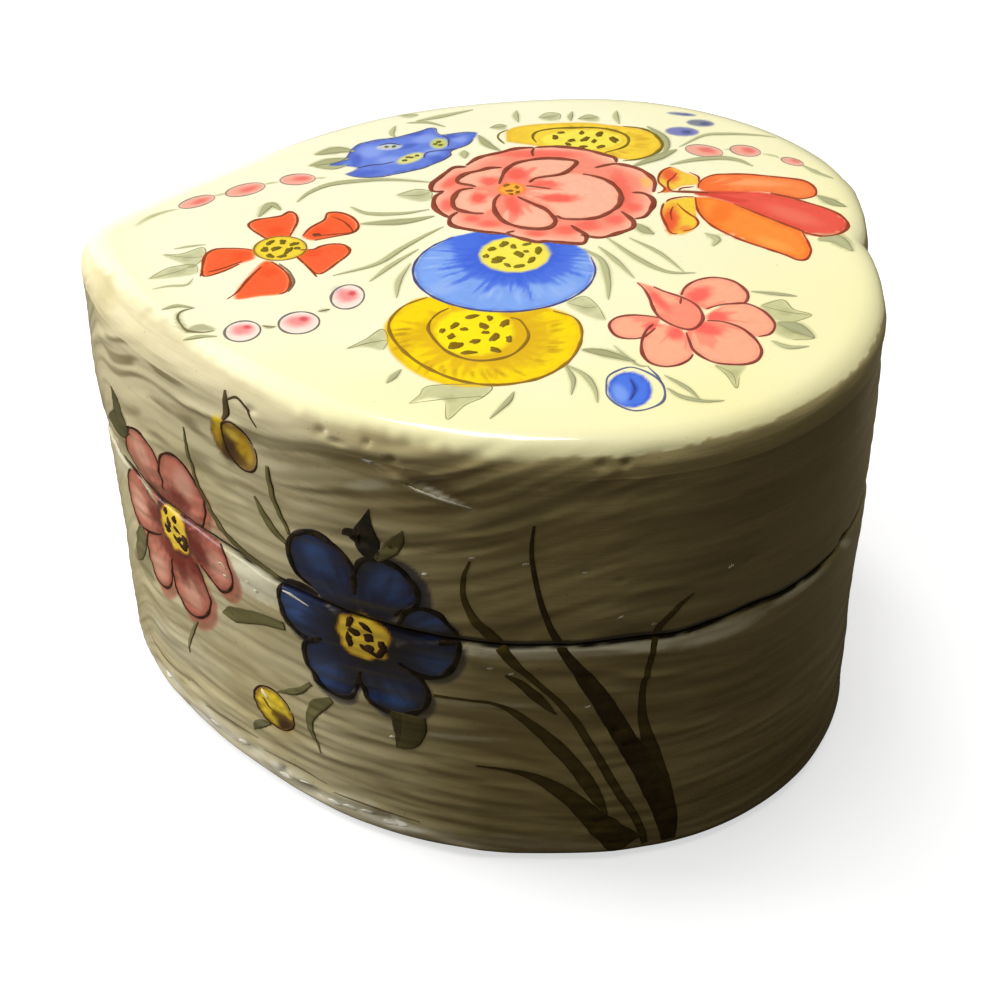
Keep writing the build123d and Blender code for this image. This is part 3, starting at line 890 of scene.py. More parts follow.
tulipUpper = [(28.8, 14.3), (29, 15.7), (29.8, 17.1), (31.2, 18.1), (33.1, 18.3), (35.3, 18.3), (37.6, 17.9),
              (42, 16.9), (43.4, 16), (44.1, 14.6), (44.2, 13.2), (43.7, 12.1), (42, 11.4), (40.3, 12.1),
              (38.1, 13.1), (35.3, 13.3), (30.3, 13.3)]
tulipRed = [
    (28.7, 13.3), (35.3, 13.3), (38.1, 12.9), (40.9, 11.5), (43.1, 10.1), (45.3, 8.5), (46.7, 6.8),
    (47.3, 4.9), (46.9, 3.2), (45.6, 1.9), (44, 1.4), (42, 2.1), (40.9, 3.2), (38.7, 5.1), (35.9, 7.6),
    (33.1, 10.1), (30.3, 11.8), (28.7, 12.2)]
tulipLower = [
    (28.3, 11.8), (28.4, 8.5), (29, 6.2), (30.1, 4), (31.7, 2.1), (34, 0), (36.5, -1.8), (38.7, -3.4),
    (40.1, -4.6), (41.2, -4.3), (41.9, -2.4), (41.8, -0.2), (41.3, 2.6)]


def paintTulip(canvas, ink):
    c = pigment
    line = (156, 58, 26)
    sepalUp = [(25.6, 20.4), (24.5, 19.6), (23.8, 17.9), (23.7, 16), (24.4, 14.3), (24, 13.2), (24.6, 12.9),
               (25.8, 14), (27, 15), (28.8, 15.4), (28.9, 17.4), (27.2, 18.9)]
    whole = canvas.fill(curve(sepalUp, True), (246, 206, 70), edge=(240, 180, 80), depth=0.5)
    canvas.blots(whole, (25.2, 18, 1.4, 2.6, (238, 92, 60), 0.95, 10),
                 (24.6, 13.8, 0.8, 1.0, (236, 84, 56), 0.9, 0))
    sepalLow = [(24.4, 10.4), (23.7, 7.4), (24.1, 4.6), (24.3, 2.2), (25.8, 1.8), (27.4, 2.6), (28.3, 4.6),
                (28.2, 6.4), (28.3, 11.4), (26.3, 11.4)]
    whole = canvas.fill(curve(sepalLow, True), (248, 208, 64), edge=(240, 184, 70), depth=0.5)
    canvas.blots(whole, (24.8, 5.4, 1.4, 4.6, (240, 88, 56), 0.95, -6),
                 (26.6, 3.2, 1.0, 1.2, (240, 110, 60), 0.7, 0))
    lower = canvas.fill(np.vstack([curve(tulipLower), curve(tulipRed[12:17])]), c["tangerine"],
                        edge=(252, 120, 44), depth=1.2)
    canvas.blots(lower, (31.4, 7.4, 1.6, 4.2, (252, 118, 40), 0.7, -20),
                 (37.4, -0.6, 3.2, 1.3, (255, 172, 84), 0.6, -42))
    upper = canvas.fill(curve(tulipUpper, True), c["apricot"], edge=(250, 118, 60), depth=1.1)
    canvas.wash(36, 15.9, 5.2, 1.1, (255, 172, 112), 0.7, -6, upper)
    canvas.rays(28.5, 14, (244, 104, 46), 2, 7, 80, 61, 0.6, upper)
    middle = canvas.fill(curve(tulipRed, True), c["red"], edge=(232, 78, 58), depth=1.0)
    canvas.wash(40.6, 7, 4.6, 1.7, (244, 122, 96), 0.65, -40, middle)
    canvas.rays(28.5, 12.8, (206, 60, 52), 3, 10, 90, 62, 0.5, middle)
    ink.strokes((
        (tulipUpper[:15], 0.46), (tulipRed[2:16], 0.5), (tulipLower, 0.46),
        (sepalUp[:6] + [(23.3, 12.8)], 0.4),
        ([(26.2, 18.7), (25.6, 17.3), (24.9, 16), (25.1, 13.7), (26.2, 13.2)], 0.34),
        ([(26.2, 13.5), (26.7, 14.3), (28.4, 14.7)], 0.4), ([(27.8, 18.9), (29, 17.6), (29, 16)], 0.3),
        ([(24.1, 10.1), (23.7, 7.4), (24.1, 4.6), (24.7, 2.1), (25.6, 1.8)], 0.42),
        ([(25.8, 10.1), (26.5, 8.5), (27.3, 7.1), (28.1, 6), (28.3, 4.6), (27.6, 3.2), (26.2, 2.5)], 0.36),
        ([(24.4, 10.4), (25.1, 11.2), (26.7, 11.8), (28.3, 11.8)], 0.42),
        ([(25, 5.4), (24.9, 7.4), (25.3, 9.2)], 0.3)), line)
    canvas.stroke(curve([(24.6, 13.2), (27, 13.3), (32, 12.9)]), 0.8, (170, 78, 40), 0.85, 0.3)
    ink.stroke([(25.4, 13.2), (27.4, 13.2), (30.2, 12.9)], 0.55, (128, 52, 26))


salmonPetals = [
    [(25.3, -13.4), (25.8, -11.6), (27, -10), (28.7, -9.1), (30.2, -9.1), (31.7, -9.8), (32.8, -11.3),
     (33.3, -13.1), (32.7, -15), (30.5, -15.3), (29, -15.9), (28, -16.5)],
    [(30.5, -15.3), (32.8, -15.1), (34.6, -16.5), (35.6, -18.4), (35.9, -20.1), (35.2, -21.9),
     (33.7, -22.6), (31, -20.6), (28, -18.6)],
    [(28, -19), (29.9, -19.3), (31.7, -20.4), (32.8, -21.9), (33.6, -23.7), (33.9, -25.7), (33.3, -27.5),
     (32, -28.4), (30.2, -28.5), (28.4, -28.1), (27, -26.9), (26.1, -25.4), (25.8, -23.7), (25.5, -21.6)],
    [(24.6, -20.6), (21.8, -19.8), (20.9, -21.3), (20.3, -23.7), (20.3, -26.3), (21.1, -28.2), (22.6, -29),
     (24.2, -28.7), (25.5, -27.6), (26.1, -26.3), (25.7, -23.4)],
    [(22.6, -18.5), (21.1, -18.1), (19.3, -17.9), (17.6, -18.4), (16.7, -19.6), (16.7, -21), (17.4, -22.5),
     (18.7, -23.1), (20.3, -22.9), (21.2, -21.9), (22, -20.7)],
    [(20.1, -10.3), (20.9, -11.9), (21.5, -14), (21.8, -16), (22.4, -18.1), (23.7, -19.8), (25.5, -21),
     (26.7, -20.6), (27.6, -18.7), (27.4, -16.6), (26.7, -15.1), (25.3, -13.7), (23.4, -12.5), (22, -11.3)]]


def paintSalmonFlower(canvas, ink):
    line = (138, 60, 50)
    # each petal's deep wash: middle, reaches and turn
    blots = [(27.4, -13.2, 1.7, 2.6, -35), (29.2, -18.2, 1.8, 1.5, 0), (27.9, -20.9, 2.4, 1.5, -25),
             (24.3, -21.8, 1.3, 1.8, 0), (21.6, -20.4, 1.1, 1.2, 0), (22.6, -14.6, 0.8, 3.4, 24)]
    for k, p in enumerate(salmonPetals):
        whole = canvas.fill(curve(p, True), (252, 176, 140), edge=(250, 158, 130), depth=0.9)
        x, y, rx, ry, turn = blots[k]
        canvas.wash(x, y, rx, ry, (252, 96, 88), 0.9, turn, whole)
        canvas.rays(26.2, -18.2, (250, 108, 92), 3.0, 7.5, 70, 70 + k, 0.5, whole)
    ink.strokes((
        (salmonPetals[0], 0.44), (salmonPetals[1][:7], 0.42), (salmonPetals[2], 0.46),
        (salmonPetals[3][1:10], 0.46), (salmonPetals[4], 0.42), (salmonPetals[5], 0.46),
        ([(25.3, -13.7), (25.1, -15.4)], 0.34)), line, thin=0.5)


def paintBerry(canvas, ink):
    whole = canvas.fill(oval(18.7, -33.8, 2.5, 3.7), (80, 122, 228), edge=(60, 96, 210), depth=0.8)
    canvas.wash(17.6, -34.6, 1.0, 2.2, (136, 172, 244), 0.7, 10, whole)
    canvas.stroke(curve([(18.4, -36.4), (19.3, -33.6), (18.6, -31)]), 0.7, (48, 76, 180), 0.8)
    ink.stroke([
        (16.1, -33.4), (16.4, -31), (18.4, -29.3), (19.9, -29.6), (21.7, -31.3), (22.5, -33.4), (22.3, -36),
        (20.8, -37.5), (19, -38), (17.3, -36.9), (16.2, -35.1)], 0.34, (88, 98, 128), True, thin=0.6)
    ink.stroke([(20.8, -29), (22, -31.3), (22.5, -33.5)], 0.26, (88, 98, 128))
    ink.stroke([(18.7, -36), (19.2, -33.8), (18.8, -31.6)], 0.26, (44, 66, 150))


def paintBuds(canvas, ink):
    c = pigment
    for x, y, rx, ry, turn in (
            (-37, 9.9, 2.6, 1.35, 38), (-31.1, 13.3, 2.8, 1.6, 32), (-24.5, 16.3, 2.4, 1.6, 8),
            (30.2, 25.2, 2.7, 1.7, -25), (35.8, 25.2, 2.2, 1.6, -30), (41.9, 22, 1.7, 0.95, -38)):
        whole = canvas.fill(oval(x, y, rx, ry, turn), (246, 172, 150), edge=(232, 190, 170), depth=0.6)
        canvas.wash(x + 0.5, y + 0.2, rx * 0.55, ry * 0.5, (236, 112, 104), 0.85, turn, whole)
        ink.stroke(oval(x, y, rx * 0.98, ry * 0.98, turn), 0.2, (150, 126, 110), True, thin=0.4)
    for x, y, rx, ry, turn in ((-14.7, -14.2, 2.0, 2.9, 0), (-19.8, -20.3, 2.4, 2.5, 0),
                               (-26.2, -22.2, 2.1, 2.3, 0)):
        whole = canvas.fill(oval(x, y, rx, ry, turn), (250, 222, 216), 0.8, edge=(246, 232, 214), depth=0.6)
        canvas.blots(whole, (x - 0.1, y + 0.3, rx * 0.75, ry * 0.62, (242, 120, 122), 0.8, 20),
                     (x + 0.5, y + 0.9, rx * 0.3, ry * 0.25, (214, 52, 64), 0.8, 0))
        ink.stroke(oval(x, y, rx, ry, turn), 0.32, (112, 106, 104), True, thin=0.55)
    canvas.wash(-16.2, -12.4, 0.8, 1.0, (150, 120, 160), 0.3)
    for p, w in (
            ([(-43.9, 2.8), (-43.1, 4.5), (-42, 6), (-40.3, 7.3), (-38.8, 7.9)], 0.8),
            ([(-29, 14.8), (-26.8, 15.6)], 0.5), ([(-35, 11.4), (-33.4, 12.4)], 0.5),
            ([(-22.2, 16.6), (-20.6, 16.9)], 0.5), ([(33, 25.6), (34.2, 25.6)], 0.5),
            ([(37.8, 24.4), (39.4, 23.8), (40.6, 22.8)], 0.5)):
        canvas.stroke(curve(p), w, c["dusk"], 0.9)
    for p, w in (
            ([(-17.9, -17.7), (-17.2, -17.5), (-16.4, -17.1)], 0.45),
            ([(-24.1, -20.9), (-23.2, -21.3), (-22.3, -21.2)], 0.45),
            ([(-32.6, -16.9), (-34.1, -17.8), (-34.4, -19.1), (-33.6, -20.9), (-32.6, -22.1),
              (-30.8, -22.5), (-29.4, -22.1)], 0.5)):
        canvas.stroke(curve(p), w + 0.5, c["moss"], 0.55)
        ink.stroke(p, w * 0.6, (112, 104, 66))
    canvas.stroke(curve([(-29.4, -21.9), (-31.6, -21.4), (-32.8, -22.4)]), 1.6, c["moss"], 0.6)
    for x, y, rx, ry, turn, tone in (
            (27.7, 36.8, 2.1, 0.55, -12, (98, 112, 150)), (30.2, 33.9, 2.0, 1.15, -12, (106, 116, 140)),
            (27.5, 31.2, 2.4, 1.5, -8, (104, 112, 186))):
        whole = canvas.fill(oval(x, y, rx, ry, turn), tone, 0.9, edge=(128, 140, 176), depth=0.5)
        canvas.wash(x + 0.6, y - 0.2, rx * 0.4, ry * 0.5, (64, 72, 130), 0.7, turn, whole)


# background leaves and grass: points, greatest width, darkness from 0 to 1
grass = [
    ([(-23.8, 9.9), (-22.4, 12.7), (-19.9, 14.9), (-16.3, 15.9), (-12, 16.3), (-6.3, 15.6)], 1.1, 0.35),
    ([(-16.7, 8.8), (-14.2, 7), (-9.9, 7), (-6.3, 8.1)], 0.9, 0.3),
    ([(-14.9, 4.2), (-9.2, 4.9), (-5.6, 6.3)], 1.5, 0.45),
    ([(-17, -9.1), (-12, -6.2), (-9.2, -2.3), (-6.3, 1.3), (-4.2, 3.5)], 0.9, 0.4),
    ([(-12.4, -10.5), (-9.9, -6.2), (-7, -2.3)], 0.8, 0.35),
    ([(-8.8, -14.4), (-8.8, -10.2), (-7.7, -5.9)], 0.8, 0.3),
    ([(13.7, -2.3), (15.9, -5.2), (16.6, -10.2), (16.6, -14.4)], 1.0, 0.35),
    ([(15.5, -1.6), (17.7, -5.2), (19.8, -9.4)], 0.8, 0.3),
    ([(16.6, 0.6), (20.2, -4.4), (23.7, -7.7), (27.3, -8)], 0.9, 0.35),
    ([(19.4, 0.6), (23, -3), (25.9, -7.7)], 0.7, 0.25), ([(20.6, 4.4), (21.4, 2.7), (22.6, 1.6)], 1.6, 0.4),
    ([(13.4, -25.5), (15.9, -26.2), (19.4, -28)], 1.5, 0.6),
    ([(11.6, -28.7), (13.7, -30.9), (14.8, -33.7), (15.1, -36.5)], 0.8, 0.35),
    ([(5.9, -34.4), (5.2, -36.5), (3.4, -39.8)], 0.8, 0.35), ([(-8.4, -33), (-7, -30.2)], 0.9, 0.3),
    ([(-37.8, -2.7), (-35.7, -1.9), (-33.9, -1.5)], 0.6, 0.2),
    ([(-34.1, -10), (-34.7, -11.6), (-36.8, -11.9), (-38.6, -12.7)], 0.6, 0.2),
    ([(-28.3, 5.8), (-27.2, 9.2), (-25.6, 7.7)], 1.4, 0.35),
    ([(-23, 23.6), (-20.1, 25), (-17.6, 24.6)], 2.0, 0.55),
    ([(-23.4, 20.2), (-20.6, 21.6), (-18.2, 22.4)], 1.8, 0.5),
    ([(-22.7, 19.9), (-19.9, 19.7), (-18.2, 20.6)], 1.0, 0.35),
    ([(-9.9, 34.2), (-6.3, 35.9), (-2, 38.1)], 1.0, 0.3),
    ([(-12.7, 32.7), (-13, 30.2), (-12.4, 29)], 0.8, 0.3),
    ([(-11.2, 33.6), (-8.2, 33.8), (-5.6, 32.4)], 0.7, 0.25),
    ([(-0.9, 29.9), (0.5, 27), (2.3, 25.2)], 1.3, 0.45), ([(-2.7, 25.2), (-2.4, 22.7)], 1.3, 0.3),
    ([(4.2, 37.9), (4.2, 36), (4.6, 34.1)], 0.9, 0.3),
    ([(18.5, 37.9), (18.4, 35.8), (18.8, 33.7)], 0.9, 0.3),
    ([(12.2, 37.6), (11.9, 35.8), (12, 34.6)], 0.8, 0.3),
    ([(22.7, 32.9), (24.6, 29.9), (25.2, 26.8), (24.6, 24.1)], 1.2, 0.45),
    ([(26.5, 25.6), (23.8, 23.3), (20.4, 20.6)], 1.7, 0.5),
    ([(26.9, 26.4), (30.4, 29.9), (33.5, 30.4), (36.9, 30.2), (40.4, 29.5)], 0.8, 0.3),
    ([(25.4, 21), (28.5, 22.4), (31.9, 23.1), (34.6, 22.4), (36.5, 20.6)], 1.3, 0.35),
    ([(43.1, 21), (45, 18.7), (46.9, 17.2)], 0.8, 0.25),
    ([(44.2, 12.4), (46.2, 10.2), (47.6, 9.3)], 1.6, 0.45),
    ([(43, 0.6), (45.4, 0.6), (47, -2.4)], 2.4, 0.35), ([(29, 2.1), (30.4, 0.6), (29.8, -1.3)], 1.2, 0.25),
    ([(33.7, -12.3), (37.3, -13), (39.1, -13.4)], 0.8, 0.3),
    ([(35.2, -23.4), (37, -24.8), (39.4, -24.6)], 0.9, 0.3),
    ([(36.2, -19.4), (38.4, -20.6), (40.2, -22.7)], 2.2, 0.35),
    ([(22.8, -33.4), (24.3, -35.1), (26.7, -36), (29, -35.9)], 0.8, 0.35),
    ([(22.6, -30.8), (25, -33.4), (26.4, -35.8)], 0.7, 0.25),
    ([(11.4, -28.4), (12.4, -31.8), (12.2, -35)], 0.7, 0.25),
    ([(-36.6, -17.5), (-35, -16.6), (-33, -16.9)], 0.8, 0.3),
    ([(-33, -23.5), (-31, -23.4), (-29, -23.4)], 0.7, 0.3),
    ([(17, -24.5), (19.5, -28.5), (21, -29)], 0.6, 0.2)]
# broad leaves as outlines with darkness
leaves = [
    ([(-10.9, 12), (-8.4, 13.6), (-6.4, 13), (-6.2, 11), (-7.7, 10.2)], 0.4),
    ([(11.6, -15.2), (13.7, -13.7), (15.3, -15.9), (16.2, -19.1), (13.6, -17.8)], 0.3),
    ([(-5.6, -37), (-4.6, -35.4), (-3.4, -33.4), (3, -33.2), (2.6, -35.4), (0.6, -37.2), (-1.2, -40),
      (-1.6, -36.6), (-3.6, -35.9)], 0.4),
    ([(-13.6, -26), (-11.6, -23.9), (-9.9, -21.6), (-9, -24), (-9.4, -26.2), (-11.6, -25.6)], 0.35),
    ([(-38.9, -4.2), (-36.6, -3.9), (-34.2, -2.2), (-33.6, -4.6), (-34.6, -7.4), (-36, -6.4)], 0.35),
    ([(-39.5, -10.2), (-38.1, -7.9), (-36.5, -6.9), (-34.4, -6.6), (-33.8, -8.6), (-35.6, -9.6)], 0.35),
    ([(34.6, -15.6), (37.3, -14.2), (38.4, -16.4), (40.4, -17.7), (38, -19.4), (35.8, -18.6)], 0.4),
    ([(36.2, -19.4), (38.6, -19.8), (40.2, -22.7), (37.6, -23.2), (35.8, -21.6)], 0.35),
    ([(28.4, -28.6), (29.6, -30.8), (30.5, -33.4), (31, -31), (31.8, -28.6)], 0.35),
    ([(0.6, 32.2), (1.8, 33.4), (3, 33), (2.6, 31.6)], 0.35),
    ([(7.4, 35.6), (8.6, 37.2), (10.4, 36.8), (10.4, 35), (8.8, 34.6)], 0.45),
    ([(13, 35.2), (14.4, 36.6), (16, 35.8), (15.6, 34.4)], 0.45),
    ([(-12.6, 36.2), (-11, 37), (-9.6, 36.2), (-11, 35.2)], 0.2)]


def paintTop(canvas, ink):
    # Leaves first, then the outer flowers, the discs and the blossom over them.
    c = pigment
    tone = np.array([c["dusk"], c["moss"]], float)
    for points, width, dark in grass:
        colour = tone[0] * (1 - dark) + tone[1] * dark
        canvas.stroke(curve(points), width * 1.3, colour, 0.4 + 0.4 * dark, 0.45, 0.12, soft=0.3)
        path = curve(points)
        t = np.linspace(0, 1, len(path))
        wide = width * np.maximum(np.minimum(t / 0.45, (1 - t) / 0.55) ** 0.6, 0.12)
        ink.stroke(path, wide, (colour * 0.75 + 58, colour * 0.93), smoothLine=False, high=0.01)
    for points, dark in leaves:
        colour = tone[0] * (1 - dark) + tone[1] * dark
        whole = canvas.fill(curve(points, True), colour + 16, 0.62, edge=(186, 186, 132), depth=0.5,
                            uneven=0.15)
        mid = np.mean(points, 0)
        canvas.wash(mid[0], mid[1], 1.2, 1.0, tone[1], 0.2, 30, whole)
        ink.stroke(points[:-1], 0.16, colour * 0.9, thin=0.3, high=0.02)
        ink.stroke([points[0], mid, points[len(points) // 2]], 0.12, colour * 0.86, thin=0.3, high=0.02)
    paintBuds(canvas, ink)
    paintBells(canvas, ink)
    paintOrangeFlower(canvas, ink)
    paintSalmonFlower(canvas, ink)
    paintBerry(canvas, ink)
    paintDiscs(canvas, ink)
    paintTulip(canvas, ink)
    paintBlossom(canvas, ink)


# arc length from the tip and height, drawn once for each side of the box
rosePetals = [
    [(16.9, 40), (17, 43), (18.4, 45.6), (21.2, 46.9), (24.2, 46.4), (25.7, 44), (25.5, 41.2)],
    [(25.5, 42.8), (26.7, 46), (29.5, 47.7), (32.2, 46.9), (34.2, 44.6), (34.7, 41.8), (33.6, 38.8)],
    [(32.6, 37.6), (36.6, 37.3), (38.3, 34.6), (38, 31.6), (35.8, 29.7), (33, 31)],
    [(31.6, 30.4), (32.7, 27.2), (32.3, 24.4), (30.6, 22.1), (28.2, 21), (26, 21.9), (24.9, 24.4),
     (24.8, 27.4)],
    [(24.6, 26.6), (23.8, 23.4), (21.4, 21.4), (19.2, 22.2), (18, 25), (18.4, 28.4)],
    [(21.8, 30.4), (18.8, 29), (15.6, 28.4), (13.4, 30.2), (12.9, 33), (14.2, 36), (16.8, 37.6),
     (19.4, 36.8)]]
navyPetals = [
    [(49.9, 39.6), (48.8, 42.2), (49.1, 44.8), (51, 46.7), (53.6, 47.2), (56.2, 45.9), (57.4, 43.6),
     (57.3, 41.4)],
    [(57.5, 42.6), (58.6, 45.4), (60.8, 46.4), (63.2, 45.6), (65, 43.2), (65, 40.8), (63, 39.2)],
    [(62.8, 37.4), (63.6, 39.2), (65.6, 40.4), (67.8, 39.6), (69.2, 37.6), (69.4, 36.6)],
    [(69.6, 36), (69.4, 33.4), (67.9, 30.8), (65.6, 29.9), (63.4, 30.8)],
    [(65, 29.6), (65.9, 27), (65, 24.2), (62.6, 22.6), (59.8, 22.5), (57.8, 24.2), (57.2, 26.6)],
    [(56.8, 25.6), (55.8, 23), (53.4, 22.3), (51, 23.4), (49.7, 26), (49.8, 28.8), (51.2, 30.4)],
    [(50.6, 29.8), (48, 30.8), (46.6, 33.4), (46.7, 36.2), (48.4, 38), (51.4, 37.8)]]
# blades of grass from the tip down: arc length, height and width
blades = (
    ((78.3, 53.8, 0.3), (78.0, 50, 0.55), (78.6, 45, 0.65), (79.8, 40, 0.8), (81.6, 35.6, 1.2),
     (83.7, 32, 1.9), (86, 28, 2.7), (87.5, 24.6, 2.7), (89, 21.4, 2.8), (90.6, 18, 3.0), (92.2, 14.6, 3.4),
     (93.6, 11.2, 3.7), (94.7, 7.6, 3.4), (95.3, 4.4, 2.7), (95.4, 2, 2.0)),
    ((96.8, 42.3, 0.2), (94.8, 40.6, 0.7), (93.1, 38.4, 1.0), (92.3, 36, 0.8), (91.8, 32.6, 0.8),
     (91.2, 29, 0.8), (91.2, 25.4, 1.1), (91.8, 21.6, 1.6), (92.9, 17.6, 2.1), (94.2, 13, 2.0),
     (95.2, 9, 1.6)),
    ((71.2, 48.2, 0.3), (70.5, 46, 0.6), (70.4, 43.2, 0.7), (71.2, 40.6, 1.0), (72.8, 38.2, 1.6),
     (74.2, 36.4, 1.5), (75.6, 34.2, 1.4), (77.4, 31.8, 0.9), (79.2, 29.8, 0.8), (81, 27.6, 0.9),
     (82.8, 24.8, 1.0), (84.2, 22, 1.1), (85.6, 19, 1.1), (87.2, 15.2, 1.2), (88.9, 11.4, 1.2),
     (90.6, 7.8, 1.1), (91.8, 4.4, 1.1), (92.3, 2, 0.9)),
    ((74.9, 31.6, 0.3), (76.6, 30.4, 1.1), (78.4, 28.4, 1.5), (79.7, 26.8, 1.0), (80.9, 25.4, 0.2)),
    ((66.4, 27.2, 0.4), (70.5, 27.2, 0.4), (73.4, 26.9, 0.5), (76, 25.4, 1.0), (78.6, 22.8, 1.6),
     (80.8, 20.2, 2.0), (82.8, 17.4, 2.0), (84.6, 14.2, 2.1), (86, 11.2, 1.6), (87.2, 8.4, 0.4)),
    ((71.2, 16.2, 0.2), (74.6, 15.9, 0.6), (77.6, 15.1, 1.2), (80.4, 13.4, 2.0), (83, 11, 2.6),
     (85, 8.4, 3.2), (87, 5.8, 4.0), (88.8, 3.6, 4.6), (90, 2.1, 4.6)))
# leaves along their ribs, each with its colour
wallLeaves = (
    (((10.4, 42.6, 0.4), (12.6, 43.2, 2.6), (15.6, 44.6, 4.4), (18.4, 46.6, 2.4)), (74, 72, 44)),
    (((14.6, 49.8, 0.3), (15.4, 48.4, 2.4), (16.4, 46.2, 3.6), (17.4, 44, 3.0)), (66, 64, 40)),
    (((12.6, 20.2, 0.3), (14.0, 22.4, 2.6), (15.4, 25.0, 3.4), (17.2, 28.2, 2.4)), (94, 90, 58)),
    (((60.0, 53.2, 0.1), (59.7, 51.8, 1.1), (59.5, 50.4, 2.4), (59.4, 48.8, 3.5), (59.8, 47.2, 2.8),
      (60.2, 45.9, 1.2)), (22, 23, 18)),
    (((56.4, 48.4, 0.1), (57.2, 49.0, 1.5), (58.6, 48.8, 2.4)), (22, 23, 18)),
    (((63.9, 51.4, 0.1), (63.3, 49.9, 1.6), (62.4, 48.4, 2.0), (61.2, 47.0, 1.4), (60.6, 46.2, 0.8)),
     (100, 94, 54)),
    (((61.5, 16.6, 0.2), (62.2, 17.6, 2.0), (62.9, 18.8, 3.6), (63.2, 20.6, 4.7), (63.2, 22.8, 4.7)),
     (84, 80, 42)),
    (((61.9, 18.2, 0.2), (61.7, 20.2, 1.2), (61.6, 22.4, 1.5)), (54, 50, 26)),
    (((38.4, 7.2, 0.1), (39.4, 8.8, 1.3), (40.8, 9.8, 1.0), (41.8, 10.2, 0.3)), (90, 86, 52)),
    (((35.0, 25.6, 0.2), (37.2, 26.6, 2.6), (40, 27.9, 2.5), (43, 29.2, 1.9), (46.8, 30.2, 1.4)),
     (108, 104, 62)),
    (((50.6, 10.6, 0.1), (49.5, 13, 0.8), (49.2, 15.6, 1.2), (50.2, 18.2, 2.2), (51.4, 19.6, 1.9),
      (52.9, 21, 0.9)), (112, 108, 66)),
    (((43.9, 17.4, 0.2), (46, 18.6, 1.0), (48, 20, 1.1), (49.9, 22.2, 0.6)), (112, 108, 66)),
    (((46.9, 54.4, 0.5), (46.9, 51.6, 0.9), (47.7, 48.6, 0.8), (49.2, 45.6, 0.5)), (104, 96, 54)),
    (((44.2, 48.9, 0.3), (45.4, 46.8, 1.1), (47, 44.9, 1.3), (48.6, 43.9, 0.5)), (106, 100, 56)),
    (((32.5, 53.2, 0.2), (32.9, 49.6, 0.7), (34.2, 45.4, 0.6), (36.4, 41.8, 0.9), (39.4, 39.6, 1.1),
      (43, 38.3, 1.0), (46.8, 37.6, 0.4)), (98, 90, 50)),
    (((25.6, 12.6, 0.1), (26.5, 15.4, 0.6), (27.6, 17.8, 0.7), (29.2, 20.6, 0.4)), (128, 122, 80)))
# soft shadows of leaves, each with its cover
shadows = (
    (((17.6, 41.4), (14, 41.4), (10.8, 43.2), (12.6, 44.8), (14.8, 47), (15.4, 49.4), (17, 47.8),
      (18.8, 46.8)), 0.8),
    (((18.4, 28), (15.6, 26.8), (13.8, 23), (10.6, 20), (15.6, 19.2), (18.6, 20.8)), 0.6))
# painted highlights: light on the glazed petals and along a fold's crest
glints = (
    ((64.4, 57.9, 0.1), (66.5, 57.2, 0.3), (69, 56.4, 0.42), (71.6, 55.6, 0.1)),
    ((35.8, 34.2, 0.1), (36.6, 34.7, 0.25), (37.4, 34.2, 0.1)),
    ((47.2, 36.1, 0.1), (48.3, 36.0, 0.6), (49.6, 35.7, 0.4), (51, 35.4, 0.1)))
# chips along the foot: pale ones, and dark cracks over them
chips = (
    (52, 2.6), (54.4, 3.0), (57, 3.4), (60, 2.8), (61.6, 3.2), (47.6, 3.4), (44, 2.6), (30, 2.8), (36, 3.4),
    (18, 3.0))
cracks = (
    ((28, 4.6, 0.1), (33, 5.4, 0.35), (39, 6.0, 0.1)), ((40, 4.6, 0.1), (46, 5.4, 0.4), (51, 5.2, 0.1)),
    ((52, 4.4, 0.1), (58, 4.8, 0.35), (64, 4.6, 0.1)), ((12, 6.2, 0.1), (17, 5.6, 0.3), (24, 6.2, 0.1)))
# small pale flecks anywhere on the wall: painted glints where light catches small bumps
glintFlecks = (
    (84, 47.1), (71.5, 48.7), (77.4, 48.3), (88.2, 40.4), (92.2, 38.6), (73.2, 32.6), (75.6, 31.8),
    (84.6, 26.6), (41.4, 34.4), (42.6, 33.6), (36.9, 32.8), (66.2, 45.6), (61, 18.4), (101.5, 44.6))


# colours of the wall's two flowers, how wide their lines are and how strong their veins
flowerLooks = dict(
    rose=dict(mid=(202, 120, 100), deep=(112, 18, 22), light=(234, 176, 152), line=(44, 12, 10),
              width=0.46, veins=0.25, halo=(160, 76, 62)),
    navy=dict(mid=(20, 38, 78), deep=(7, 8, 34), light=(54, 88, 146), line=(5, 5, 9), width=0.62,
              veins=0.4, halo=(8, 9, 40)))


